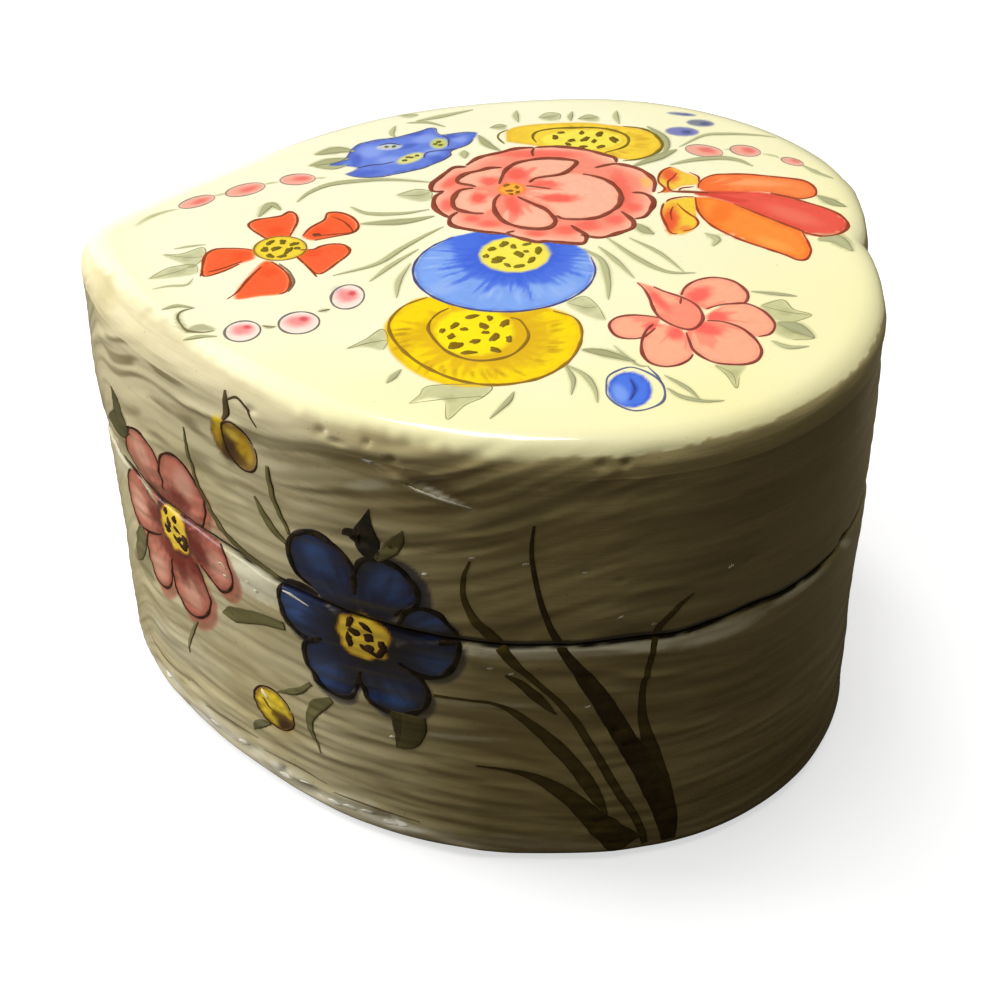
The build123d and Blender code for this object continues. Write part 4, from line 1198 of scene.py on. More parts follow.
class WallBrush:
    # Paints both halves of the wall at once; a mirrored brush works on the far side.
    def __init__(self, canvases, inks, mirror):
        self.canvases, self.inks, self.mirror = canvases, inks, mirror

    def place(self, points):
        p = np.asarray(points, float)
        return np.column_stack([fullRound - p[:, 0], p[:, 1]]) if self.mirror else p

    def at(self, s):
        return fullRound - s if self.mirror else s

    def fill(self, loop, *args, **keys):
        return [c.fill(self.place(loop), *args, **keys) for c in self.canvases]

    def wash(self, x, y, rx, ry, colour, cover, turn=0.0, within=None):
        for k, c in enumerate(self.canvases):
            c.wash(self.at(x), y, rx, ry, colour, cover, -turn if self.mirror else turn,
                   within[k] if within is not None else None)

    def washes(self, rows, colour, cover):
        for x, y, rx, ry, turn in rows:
            self.wash(x, y, rx, ry, colour, cover, turn)

    def rays(self, x, y, colour, inner, outer, count, seed, cover, within):
        for k, c in enumerate(self.canvases):
            c.rays(self.at(x), y, colour, inner, outer, count, seed, cover, within[k])

    def line(self, points, width, colour, **keys):
        # A drawn line stops at each lip of the seam, so that each half stays with its own body.
        path = self.place(points if np.ndim(width) else curve(points, keys.pop("closed", False), 0.25))
        above = path[:, 1] - levels["seam"] - seamShift(path[:, 0])
        for ink, keep in ((self.inks[0], above < -0.2), (self.inks[1], above > 0.2)):
            edges = np.flatnonzero(np.diff(np.concatenate([[0], keep.astype(int), [0]])))
            for first, last in zip(edges[::2], edges[1::2]):
                if last - first > 4:
                    ink.stroke(path[first:last], width[first:last] if np.ndim(width) else width, colour,
                               smoothLine=False, **keys)

    def blade(self, rows, colour):
        # A blade of grass or a leaf along its rib: rows of arc length, height and width.
        rows = np.asarray(rows, float)
        path = curve(rows[:, :2], step=0.2)
        at = [np.hypot(*(path - row).T).argmin() for row in rows[:, :2]]
        self.line(path, np.interp(np.arange(len(path)), at, rows[:, 2]), colour)

    def dab(self, x, y, rx, ry, colour, turn=0.0):
        above = y - levels["seam"] - float(seamShift(self.at(x)))
        if abs(above) > ry + 0.5:
            self.inks[1 if above > 0 else 0].dab(self.at(x), y, rx, ry, colour,
                                                 -turn if self.mirror else turn)


def paintWallFlower(brush, petals, centre, look, slip, seed):
    # The whole flower is laid deep and a little off its lines, then each petal lighter inside, with
    # veins out of a dark heart, and last the lines and the speckled middle.
    mid, deep, light, line, width, veins, halo = look.values()
    heartAt = np.array(centre, float)
    cx, cy = centre
    for scale, part in ((1.05, 1.0), (1.02, 0.4)):
        for p in petals:
            brush.fill(heartAt + np.array(slip) * part + (np.vstack([curve(p), heartAt]) - heartAt) * scale,
                       halo, 0.75, edge=mid, depth=0.6, uneven=0.2)
    for k, p in enumerate(petals):
        arc = curve(p)
        foot = [heartAt + (arc[-1] - heartAt) * 0.5, heartAt + (arc[0] - heartAt) * 0.5]
        brush.fill(np.vstack([arc, foot]), halo, 0.9)
        within = brush.fill(np.vstack([arc, foot]), mid, edge=halo, depth=1.1, uneven=0.12)
        px, py = np.mean(p, 0)
        turn = math.degrees(math.atan2(py - cy, px - cx))
        brush.wash(cx + (px - cx) * 0.98, cy + (py - cy) * 0.98, 2.8, 2.2, light, 0.7, turn, within)
        brush.rays(cx, cy, light, 6.0, 12.0, 90, seed + 40 + k, 0.5 * veins, within)
        brush.rays(cx, cy, deep, 5.0, 12.0, 110, seed + k, veins, within)
        brush.wash(cx + 0.8, cy, 7.8, 7.4, deep, 0.95, 0, within)
    for p in petals:
        ends = [heartAt + (np.array(p[i]) - heartAt) * 0.8 for i in (0, -1)]
        brush.line(np.vstack([ends[:1], p, ends[1:]]), width, line, thin=0.65)
    brush.fill(oval(cx, cy, 4.2, 4.2), deep, 0.9, edge=line, depth=1.2)
    rough = oval(cx, cy, 3.5, 3.4, 0, 18)
    shrunk = np.random.default_rng(seed).uniform(0.84, 1.1, 18)[:, None]
    rough = heartAt + (rough - heartAt) * shrunk
    brush.fill(curve(rough, True, 0.3), (252, 212, 62), edge=(230, 168, 36), depth=0.4)
    rng = np.random.default_rng(seed)
    for k in range(7):
        a, r = k * 2.4 + 0.4, 0.98 * math.sqrt(k + 0.5)
        brush.dab(cx + r * 1.05 * math.cos(a), cy + r * math.sin(a), rng.uniform(0.45, 1.1),
                  rng.uniform(0.3, 0.6), (48, 22, 12), rng.uniform(0, 180))
    brush.line([(cx - 0.6, cy - 1.2), (cx + 0.6, cy - 1.8), (cx + 1.8, cy - 2.2), (cx + 2.4, cy - 1.2),
                (cx + 3.2, cy - 0.9)], 0.75, (44, 18, 14))


def paintBud(brush, middle, size, ring, light, dark, shade):
    # A yellow bud, shaded at one side, with its ring drawn a little off it.
    (x, y), (rx, ry) = middle, size
    brush.fill(oval(x, y, rx, ry), light, edge=dark, depth=1.0, uneven=0.25)
    within = brush.fill(oval(*ring, 26), light, 0.9, edge=(140, 96, 16), depth=1.1, uneven=0.2)
    brush.wash(x + shade[0], y + shade[1], 2.4, 2.6, (66, 36, 10), 1.0, 20, within)
    brush.wash(x + shade[0] * 0.4, y - 0.6, 2.0, 0.6, (120, 76, 12), 0.85, 10, within)
    brush.wash(x - shade[0] * 0.7, y + 1.0, 1.2, 0.9, (255, 226, 90), 0.5, 0, within)
    brush.line(oval(*ring, 26), 0.36, (50, 24, 14), closed=True, thin=0.6)


def paintSpray(brush, swap):
    # Shadows, leaves, the flower near the tip, the second one, buds, blades of grass, then painted
    # highlights and the wear.
    first, second = (flowerLooks[k] for k in (("navy", "rose") if swap else ("rose", "navy")))
    for points, cover in shadows:
        brush.fill(curve(points, True, 0.4), (100, 96, 58), cover, edge=(146, 140, 98), depth=1.2,
                   uneven=0.4)
    if not swap:
        brush.wash(36.6, 40.2, 3.0, 1.3, first["mid"], 0.4, -15)
    for rows, tone in wallLeaves:
        brush.blade(rows, (np.array(tone) + 8, np.array(tone) * 0.7))
    paintWallFlower(brush, rosePetals, (26.4, 34.2), first, (1.0, -0.9), 81)
    brush.washes((
        (27.4, 28.2, 1.5, 3.0, -8), (22.0, 38.2, 1.6, 1.8, 0), (29, 40.4, 3.0, 1.6, 10),
        (31.4, 33.6, 3.0, 2.0, 0), (25.2, 29.2, 3.6, 1.3, -14), (30.6, 30.6, 1.8, 2.2, 0),
        (21.4, 33.4, 2.2, 1.6, 0)), first["deep"], 0.85)
    brush.wash(16.4, 31.2, 2.6, 1.3, first["light"], 0.6, 10)
    spread = [(60.4, 46.9), (63.2, 47.0), (65.6, 45.4), (66.8, 42.6), (66.6, 40.2), (64.6, 39.6), (62, 42)]
    brush.fill(curve(spread, True, 0.4), second["halo"], 0.85, edge=second["mid"], depth=0.8, uneven=0.2)
    paintWallFlower(brush, navyPetals, (58.2, 33.7), second, (0.5, -0.7), 91)
    paintBud(brush, (41.0, 55.4), (3.2, 3.0), (42.6, 55.2, 2.6, 3.3), (192, 152, 20), (128, 88, 14),
             (-0.9, -1.2))
    brush.wash(40.7, 53.8, 1.9, 2.2, (58, 34, 8), 0.95, -20)
    brush.wash(42.4, 53.4, 1.6, 1.1, (84, 54, 10), 0.8, 0)
    brush.wash(39.6, 57.4, 1.2, 0.9, (240, 204, 20), 0.9, 30)
    brush.line([(41.0, 14.8), (42.4, 13.4), (44.4, 12.6)], 0.42, (116, 76, 10))
    brush.dab(41.6, 15.6, 0.7, 0.24, (255, 240, 196), -30)
    paintBud(brush, (43.0, 13.5), (3.5, 3.3), (42.9, 13.8, 3.6, 3.4), (252, 220, 50), (214, 156, 26),
             (1.6, -1.6))
    brush.blade(((40.6, 58.2, 0.4), (41.1, 59.4, 1.2), (41.0, 60.8, 0.9), (40.8, 62.0, 0.2)), (78, 64, 38))
    brush.line([(41.2, 61.0), (42.6, 61.8), (44.2, 61.2), (45.2, 60.0), (46, 59.2)], 0.34, (70, 56, 34))
    for rows in blades[::-1]:
        tone = np.array((58, 46, 16) if rows is blades[0] else (84, 72, 28))
        brush.blade(rows, (tone, tone * 0.7))
    # painted highlights on the petals and along the fold's crest
    for rows in glints:
        brush.blade(rows, (228, 222, 198))
    # painted highlight on the second flower's petals, where the glaze catches the light
    brush.washes(((48.4, 36.0, 1.5, 0.5, -6), (48.8, 33.6, 1.3, 0.6, 20)), second["light"], 0.75)
    # painted glints: small pale flecks
    for x, y in glintFlecks:
        brush.dab(x, y, 0.34, 0.16, (226, 220, 198), 12)
    for x, y in chips:
        brush.dab(x, y, 0.9, 0.24, (232, 228, 212), 4)
    for rows in cracks:
        brush.blade(rows, (104, 94, 70))
    at = np.linspace(13, 50, 20)
    lower = levels["seam"] + seamShift(fullRound - at if swap else at) + 0.5
    brush.line(np.column_stack([at, lower]), 0.8, (26, 18, 10))


# how far apart the walls' points are, along them and up them
spacing = dict(fine=0.34, plain=0.62, cleft=0.12, rowStep=0.36)
# how thick each wall is, and how wide the ledge is that carries the lid's top
walls = dict(base=3.4, lid=3.05, ledge=1.5)


def wallStations():
    # Close together where the flowers are on either side, at the cleft and round the tip.
    s = spacing
    near = [(6, 0.5), (102, s["fine"]), (halfRound - 1.2, s["plain"]), (halfRound + 1.2, s["cleft"]),
            (fullRound - 102, s["plain"]), (fullRound - 6, s["fine"]), (fullRound, 0.5)]
    return stations(near)


def jointNormals(s):
    # Where the lid's wall and top join, both face the same way: square to a short step along the
    # wall and a short step up it.
    step, z = 0.12, levels["joint"]
    along = np.subtract(wallPoint(s + step, z, lid=True), wallPoint(s - step, z, lid=True))
    up = np.subtract(wallPoint(s, z + step, lid=True), wallPoint(s, z - step, lid=True))
    n = np.cross(along.T, up.T)
    return n / np.linalg.norm(n, axis=1, keepdims=True)


def shellPiece(name, s, rows, lid, joint=None):
    # A wall as a ring: rows up the outer skin, then the lip, the inner face and the foot. Rows hold
    # height, inset and whether the row is on the outer skin; one of them may be the joint's.
    height, inset, outer = (np.array(c, float)[:, None] for c in zip(*rows))
    ss = s[None].repeat(len(rows), 0)
    seamZ = seamShift(s)[None]
    ease = 1 - smooth(0, 9, np.abs(height - levels["seam"]))
    z = height + seamZ * ease
    x, y = ringPoint(ss, inset.repeat(len(s), 1))
    nx, ny = outward(ss)
    out = wallRelief(ss, z, lid) * outer
    points = np.stack([x + nx * out, y + ny * out, z], -1)
    faces = gridFaces(len(rows), len(s), wrapRows=True)
    normals = None
    if joint is not None:
        normals = np.zeros((len(rows), len(s), 3))
        normals[joint] = jointNormals(s)
        normals = normals.reshape(-1, 3)
    piece = makeMesh(name, points.reshape(-1, 3), faces, normals=normals)
    storeValue(piece, np.ones(ss.size), "side")
    storeValue(piece, (ridgeDepth(ss, z, lid)[0] * outer).ravel(), "hollow")
    return piece, ss, z, outer.repeat(len(s), 1)


def lipRows(edge, radius, up, count, wallInset, step):
    # Quarter round at a lip or foot: height and inset from the outer skin to the level face.
    a = np.linspace(0, math.pi / 2, count + 1)[1:]
    rows = [(edge - up * (radius - radius * math.sin(t)), radius - radius * math.cos(t),
             1 - t / (math.pi / 2) * 0.6) for t in a]
    flat = np.linspace(radius, wallInset, step + 1)[1:]
    return rows + [(edge, f, 0.0) for f in flat]


def buildShells():
    s = wallStations()
    lv, step = levels, spacing["rowStep"]
    thick, lidThick = walls["base"], walls["lid"]
    # the base wall: outer skin up, lip, inner face down, foot
    low, high = lv["foot"] + lv["footRound"], lv["seam"] - lv["baseLip"]
    skin = [(h, 0.0, 1.0) for h in np.linspace(low, high, round((high - low) / step))]
    lip = lipRows(lv["seam"], lv["baseLip"], 1, 5, thick, 2)
    inner = [(h, thick, 0.0) for h in np.linspace(lv["seam"], lv["foot"], 6)[1:-1]]
    foot = lipRows(lv["foot"], lv["footRound"], -1, 6, thick, 2)[::-1]
    base = shellPiece("baseWall", s, skin + lip + inner + foot, False)
    # the lid wall: the lip's round, outer skin up, the top face, inner face down
    low = lv["seam"] + lv["lidLip"]
    skin = [(h, 0.0, 1.0) for h in np.linspace(low, lv["joint"], round((lv["joint"] - low) / step))]
    top = [(lv["joint"], f, 0.0) for f in (walls["ledge"], lidThick)]
    inner = [(h, lidThick, 0.0) for h in np.linspace(lv["joint"], lv["seam"], 5)[1:-1]]
    lip = lipRows(lv["seam"], lv["lidLip"], -1, 5, lidThick, 2)[::-1]
    lid = shellPiece("lidWall", s, skin + top + inner + lip, True, len(skin) - 1)
    print("walls shaped")
    return base, lid


# the lid's net: squares from its middle to its edge, rows round the shoulder, where it starts
net = dict(half=136, rows=20, start=0.375, middle=(5.0, 1.0))


def buildTop():
    # A square net stretched to the heart: each square ring of the net goes to the outline drawn in
    # towards a middle by the same share. Then rows round the shoulder and one cap underneath.
    lv, half = levels, net["half"]
    k = np.arange(-half, half + 1)
    u, v = np.meshgrid(k, k)
    ring = np.maximum(np.abs(u), np.abs(v))
    r = np.maximum(ring, 1)
    side = np.select([(u == ring) & (v > -ring), (v == ring) & (u < ring), (u == -ring) & (v < ring)],
                     [0, 1, 2], 3)
    along = np.select([side == 0, side == 1, side == 2], [v / r, -u / r, -v / r], u / r)
    turn = (side + (along + 1) / 2) / 4
    s = turn * fullRound + fullRound * net["start"]
    ex, ey = ringPoint(s, lv["shoulder"])
    share = ring / half
    cx, cy = net["middle"]
    x, y = cx + share * (ex - cx), cy + share * (ey - cy)
    z = lv["top"] - topWave(x, y)
    points = [np.stack([x, y, z], -1).reshape(-1, 3)]
    width = 2 * half + 1
    faces = [gridFaces(width, width, wrapColumns=False)]
    # the border of the net in turn order
    border = np.flatnonzero(ring.ravel() == half)
    border = border[np.argsort(turn.ravel()[border])]
    bs = s.ravel()[border]
    count = width * width
    tilts = np.linspace(math.pi / 2, 0, net["rows"] + 1)[1:]
    previous = border
    canvasXY = [np.column_stack([x.ravel(), y.ravel()])]
    nx, ny = outward(bs)
    rings, hollows = [], []
    for t in list(tilts) + [None]:
        tilt = 0.0 if t is None else t
        power = 2 / joined(squareKnots, bs)
        height = lv["top"] - lv["shoulder"] * (1 - math.sin(tilt) ** power)
        if t is None:
            height = np.full(len(bs), lv["joint"])
        px, py = ringPoint(bs, lv["shoulder"] * (1 - math.cos(tilt) ** power))
        ease = 1 - smooth(0.25, 1.2, tilt)
        out = wallRelief(bs, height, True) * ease
        hollows.append(ridgeDepth(bs, height, True)[0] * ease)
        sink = topWave(px, py) * math.sin(tilt)
        points.append(np.stack([px + nx * out * math.cos(tilt), py + ny * out * math.cos(tilt),
                                height + out * math.sin(tilt) - sink], -1))
        canvasXY.append(np.column_stack([px, py]))
        current = count + np.arange(len(border))
        faces.append(np.column_stack([np.roll(previous, -1), previous, current, np.roll(current, -1)]))
        previous = current
        # the side value: where the cream top gives way to the side ground round the shoulder, a ragged line
        # that is partly painted shade at the shoulder's turn
        u, v, meet = bs / fullRound, np.full(len(bs), tilt / 2), joined(meetKnots, bs)
        lean = math.degrees(math.pi / 2 - tilt) + (7 + 0.3 * meet) * (lattice(u, v, 260, 5, 38) - 0.5)
        lean = lean + (6 + 0.9 * meet) * (lattice(u, v, 40, 3, 39) - 0.5)
        tiltAt = joined(tiltKnots, bs)
        rings.append(smooth(tiltAt - meet, tiltAt + meet, lean))
        count += len(border)
    n = np.zeros((count, 3))
    n[previous] = jointNormals(bs)
    piece = makeMesh("lidTop", np.vstack(points), np.vstack(faces), [previous[::-1]], n)
    dull = joined(((0, 1), (46, 1), (58, 0), (262, 0), (276, 1)), bs)
    for name, values in (("side", rings), ("hollow", hollows), ("dull", [dull] * len(rings))):
        storeValue(piece, np.concatenate([np.zeros(width * width)] + values), name)
    print("lid top shaped")
    return piece, np.vstack(canvasXY)


# pasted sheets, each with how far its edge lies inside the outline, its lower and its upper face
sheets = dict(floorLining=(5.1, 3.4, 3.8), lidLining=(3.35, 59.4, 59.8), undersideSheet=(2.2, 0.0, 0.4))
sheetRound = 0.15  # the round of a sheet's edges
# the collar's strip: how far its faces lie inside the outline, its ends and its rounded top
strip = dict(outer=3.4, inner=4.8, low=3.4, high=42.0, rounding=0.45)


def slab(name):
    # A level sheet cut to the heart: a rounded edge between two faces, each a few rings and a cap.
    inset, low, high = sheets[name]
    cx, cy = net["middle"]
    s = stations([(halfRound - 1.2, 1.0), (halfRound + 1.2, 0.2), (fullRound, 1.0)])
    r = min(sheetRound, (high - low) / 2)
    rows = [(low, inset + 4), (low, inset + r)]
    for t in np.linspace(0, math.pi / 2, 4)[1:]:
        rows.append((low + r - r * math.cos(t), inset + r - r * math.sin(t)))
    for t in np.linspace(0, math.pi / 2, 4):
        rows.append((high - r + r * math.sin(t), inset + r - r * math.cos(t)))
    rows += [(high, inset + 4)]
    points = []
    for h, i in rows:
        if i > inset + 1:
            x, y = ringPoint(s, inset)
            x, y = cx + (x - cx) * 0.9, cy + (y - cy) * 0.9
        else:
            x, y = ringPoint(s, np.full(len(s), i))
        points.append(np.stack([x, y, np.full(len(s), h)], -1))
    faces = gridFaces(len(rows), len(s))
    n = len(s)
    caps = [np.arange(n)[::-1], (len(rows) - 1) * n + np.arange(n)]
    return makeMesh(name, np.vstack(points), faces, caps)


def collar():
    # The locating collar: a thin ring wall, both top edges rounded.
    s = stations([(halfRound - 1.2, 0.6), (halfRound + 1.2, 0.2), (fullRound, 0.6)])
    outer, inner, low, high, r = strip.values()
    turns = np.linspace(0, math.pi / 2, 5)
    rows = [(h, outer) for h in np.linspace(low, high - r, 60)]
    rows += [(high - r + r * math.sin(t), outer + r - r * math.cos(t)) for t in turns[1:]]
    rows += [(high - r + r * math.cos(t), inner - r + r * math.sin(t)) for t in turns]
    rows += [(h, inner) for h in np.linspace(high - r, low, 60)[1:]]
    points = []
    for h, i in rows:
        x, y = ringPoint(s, np.full(len(s), i))
        nx, ny = outward(s)
        u, v = noisePlace(s, np.full(len(s), h))
        wave = 0.07 * (lattice(u, v, 30, 24, 33) - 0.5) + 0.04 * (lattice(u, v, 80, 70, 34) - 0.5)
        within = i > (outer + inner) / 2
        wave = wave if within else wave * 0.5 - 0.03
        sign = -1 if within else 1
        points.append(np.stack([x + sign * nx * wave, y + sign * ny * wave, np.full(len(s), h)], -1))
    return makeMesh("locatingCollar", np.vstack(points), gridFaces(len(rows), len(s), wrapRows=True))


(baseWall, baseS, baseZ, baseOuter), (lidWall, lidS, lidZ, lidOuter) = buildShells()
lidTop, topXY = buildTop()
floorLining, lidLining, undersideSheet = (slab(name) for name in sheets)
locatingCollar = collar()

topCanvas = Canvas(topXY[:, 0], topXY[:, 1], 0.30)
baseCanvas = Canvas(baseS, baseZ, 0.34, fullRound)
lidCanvas = Canvas(lidS, lidZ, 0.34, fullRound)
topInk = Ink(topPoint, 1)
baseInk = Ink(lambda s, z, lift: wallPoint(s, z, lift, False), 2)
lidInk = Ink(lambda s, z, lift: wallPoint(s, z, lift, True), 3)

# pale patches and brown stains: arc length, height, reach along and up, turn and cover. The pale patches
# along the base's lip under the seam and one along a fold's crest are painted highlight; the others are worn
# places.
paleWearAndHighlight = (
    (42, 35.0, 6, 3.0, 0, 1.0), (8, 35.2, 9, 2.4, 8, 0.6), (77, 35.2, 9, 1.0, 0, 0.95),
    (89, 35.5, 8, 0.9, 0, 0.95), (101, 35.3, 6, 1.3, 4, 1.0), (113, 36.0, 6, 0.6, 0, 0.7),
    (124, 35.8, 2, 0.6, -30, 0.9), (66, 20.2, 9, 0.5, 4, 0.6), (58, 3.2, 4, 0.9, 0, 0.8),
    (50, 3.4, 3, 0.7, 0, 0.6), (60, 56.5, 3, 0.8, 20, 0.5), (68.5, 56.9, 3.6, 0.3, -24, 0.9),
    (22, 12, 12, 4, 15, 0.3), (30, 25, 9, 4, 10, 0.25), (72, 26.6, 7, 0.5, 2, 0.6),
    (90, 35.8, 24, 0.5, 0, 0.4), (200, 35.4, 9, 0.9, 0, 0.7), (262, 35.4, 12, 1.6, 0, 0.7),
    (232, 56, 8, 0.5, 18, 0.5))
stains = (
    (66, 58.9, 7, 1.4, -26, 0.6), (74, 57.2, 6, 1.6, 10, 0.45), (33, 55.4, 6, 0.9, 10, 0.4),
    (50, 56.8, 5, 0.8, 12, 0.45), (46, 50.4, 7, 0.8, 12, 0.3), (88, 59.4, 8, 2.0, 8, 0.5),
    (5, 42, 6, 1.6, 30, 0.35), (20, 14, 14, 1.0, 22, 0.2), (66, 9, 16, 1.2, 3, 0.25),
    (88, 38.8, 4, 1.0, 0, 0.4), (72, 14, 9, 0.8, 4, 0.3), (76, 40, 12, 1.2, 4, 0.35),
    (82, 53, 9, 1.0, 16, 0.35), (96, 44, 9, 3.5, 10, 0.35), (226, 58, 10, 1.6, 14, 0.45),
    (250, 20, 14, 1.2, -8, 0.3), (180, 50, 12, 1.6, 6, 0.3))


# colours laid on the walls: the dusk colour is painted shade, and the pale one is partly painted highlight
ageing = dict(fibre=(104, 90, 52), scuff=(236, 232, 214), dusk=(122, 104, 60), stain=(112, 90, 48),
              paleWearAndHighlight=(240, 234, 204), seam=(16, 11, 8), inside=(24, 21, 19))
# how strongly painted shade darkens the wall at each arc length: the right front, which faces away from the
# lamps
shadeKnots = ((0, 0), (84, 0), (104, 1), (146, 1), (170, 0))


def ageWall(canvas, s, z, lid):
    # What goes under the painting: brown fibres along the brush, the rubbed foot, painted shade that darkens
    # and browns the right front, stains, and pale patches that are partly worn places and partly painted
    # highlight on the base's lip.
    everything = np.arange(s.size)
    u, _, w = brushed(s, z, lid)
    v = z / 80
    fibre = smooth(0.5, 0.76, 0.6 * lattice(u, w, 32, 140, 19) + 0.4 * lattice(u, w, 70, 90, 48))
    fibre = fibre * joined(fibreKnots, s) * (0.4 + 0.6 * smooth(44, 54, z) + 0.3 * (1 - smooth(8, 20, z)))
    canvas.lay(everything, linear(ageing["fibre"]), fibre.ravel())
    wander = 2.6 * (lattice(u, v, 60, 40, 45) - 0.5) + 1.6 * (lattice(u, v, 200, 60, 46) - 0.5)
    scuff = smooth(5.2, 2.6, z + wander) * joined(scuffKnots, s)
    scuff = scuff * (0.35 + 0.65 * smooth(0.3, 0.7, lattice(u, v, 120, 90, 47)))
    canvas.lay(everything, linear(ageing["scuff"]), scuff.ravel())
    # painted shade: the right front darkened brown, a little more on the lid
    dusk = joined(shadeKnots, s) * (0.3 + 0.2 * lattice(u, v, 30, 30, 41) + (0.18 if lid else 0))
    canvas.lay(everything, linear(ageing["dusk"]), dusk.ravel())
    for x, y, rx, ry, turn, cover in stains:
        canvas.wash(x, y, rx, ry, ageing["stain"], cover, turn)
    # pale patches: worn places, and painted highlight along the base's lip and a fold's crest
    for x, y, rx, ry, turn, cover in paleWearAndHighlight:
        if (y > levels["seam"]) == lid:
            canvas.wash(x, y, rx, ry, ageing["paleWearAndHighlight"], cover, turn)


def closeWall(canvas, s, z, outer, lid):
    # What goes over the painting: the dark ragged line at the seam, and black on the faces inside.
    everything = np.arange(s.size)
    gap = np.abs(z - (levels["seam"] + seamShift(s)))
    ragged = (0.5 if lid else 0.3) + 0.22 * lattice(s / fullRound, np.full(s.shape, 0.5), 190, 2, 35)
    ragged = ragged * joined(seamWidth, s)
    line = (1 - smooth(ragged * 0.8, ragged * 1.25, gap)).ravel()
    canvas.lay(everything, linear(ageing["seam"]), line * 0.98)
    canvas.lay(everything, linear(ageing["inside"]), 1 - smooth(0.0, 0.35, outer.ravel()))


paintTop(topCanvas, topInk)
print("bouquet painted")
ageWall(baseCanvas, baseS, baseZ, False)
ageWall(lidCanvas, lidS, lidZ, True)
for mirror in (False, True):
    paintSpray(WallBrush((baseCanvas, lidCanvas), (baseInk, lidInk), mirror), mirror)
print("sprays painted")
closeWall(baseCanvas, baseS, baseZ, baseOuter, False)
closeWall(lidCanvas, lidS, lidZ, lidOuter, True)
for piece, canvas in ((lidTop, topCanvas), (baseWall, baseCanvas), (lidWall, lidCanvas)):
    storeColour(piece, canvas.rgb, canvas.alpha)
topLines = topInk.build("topLinework")
baseLines = baseInk.build("baseLinework")
lidLines = lidInk.build("lidLinework")


class Socket:
    # A shader socket that takes part in Python sums: each operator adds a Math node.
    def __init__(self, tree, output):
        self.tree, self.output = tree, output

    def math(self, operation, *values):
        return node(self.tree, "Math", {"operation": operation}, dict(enumerate(values)))

    def __add__(self, other):
        return self.math("ADD", self, other)

    def __radd__(self, other):
        return self.math("ADD", other, self)

    def __sub__(self, other):
        return self.math("SUBTRACT", self, other)

    def __rsub__(self, other):
        return self.math("SUBTRACT", other, self)

    def __mul__(self, other):
        return self.math("MULTIPLY", self, other)

    def __rmul__(self, other):
        return self.math("MULTIPLY", other, self)


def node(tree, kind, settings=None, inputs=None, out=0):
    # One node: its settings first, a ramp's stops among them, then values or links of its sockets.
    made = tree.nodes.new("ShaderNode" + kind)
    for key, value in (settings or {}).items():
        if key == "stops":
            ramp = made.color_ramp
            while len(ramp.elements) < len(value):
                ramp.elements.new(0.5)
            for element, (at, colour) in zip(ramp.elements, value):
                element.position, element.color = at, (*colour, 1)
        else:
            setattr(made, key, value)
    for key, value in (inputs or {}).items():
        socket = made.inputs[key]
        if isinstance(value, Socket):
            tree.links.new(value.output, socket)
        elif hasattr(socket.default_value, "__len__"):
            value = tuple(value) if hasattr(value, "__len__") else (value,) * len(socket.default_value)
            size = len(socket.default_value)
            socket.default_value = (value + (1.0,))[:size] if len(value) < size else value[:size]
        else:
            socket.default_value = value
    return Socket(tree, made.outputs[out] if len(made.outputs) else None)


def newMaterial(name):
    material = bpy.data.materials.new(name)
    material.use_nodes = True
    tree = material.node_tree
    tree.nodes.clear()
    return material, tree


def finishMaterial(tree, inputs):
    shader = node(tree, "BsdfPrincipled", {}, inputs)
    node(tree, "OutputMaterial", {}, {"Surface": shader})


def attribute(tree, name, out="Fac"):
    return node(tree, "Attribute", {"attribute_name": name}, out=out)


def mapped(tree, scale):
    place = node(tree, "TexCoord", out="Object")
    return node(tree, "Mapping", {}, {"Vector": place, "Scale": scale})


def noise(tree, scale, detail=3.0, stretch=(1, 1, 1)):
    # Noise on millimetres; a stretch below 1 draws it out along that axis.
    place = mapped(tree, tuple(v / mm for v in stretch))
    return node(tree, "TexNoise", {}, {"Vector": place, "Scale": scale, "Detail": detail,
                                       "Roughness": 0.55})


def mix(tree, factor, a, b):
    return node(tree, "Mix", {"data_type": "RGBA"}, {0: factor, 6: a, 7: b}, out=2)


def ramp(tree, value, low, high):
    return node(tree, "MapRange", {"interpolation_type": "SMOOTHSTEP"},
                {"Value": value, "From Min": low, "From Max": high})


# the lacquer's colours: the side ground is partly painted shade, the stain colour also paints shade into the
# ridges' hollows, and the right-hand tint is painted shade
ivory = dict(
    cream=(251, 248, 212), aged=(250, 242, 178), side=(221, 211, 170), smoked=(188, 174, 126),
    stain=(138, 116, 66), rightShade=(0.74, 0.68, 0.5), speck=(120, 98, 60), gloss=0.34, coat=0.9,
    coatRough=0.07)


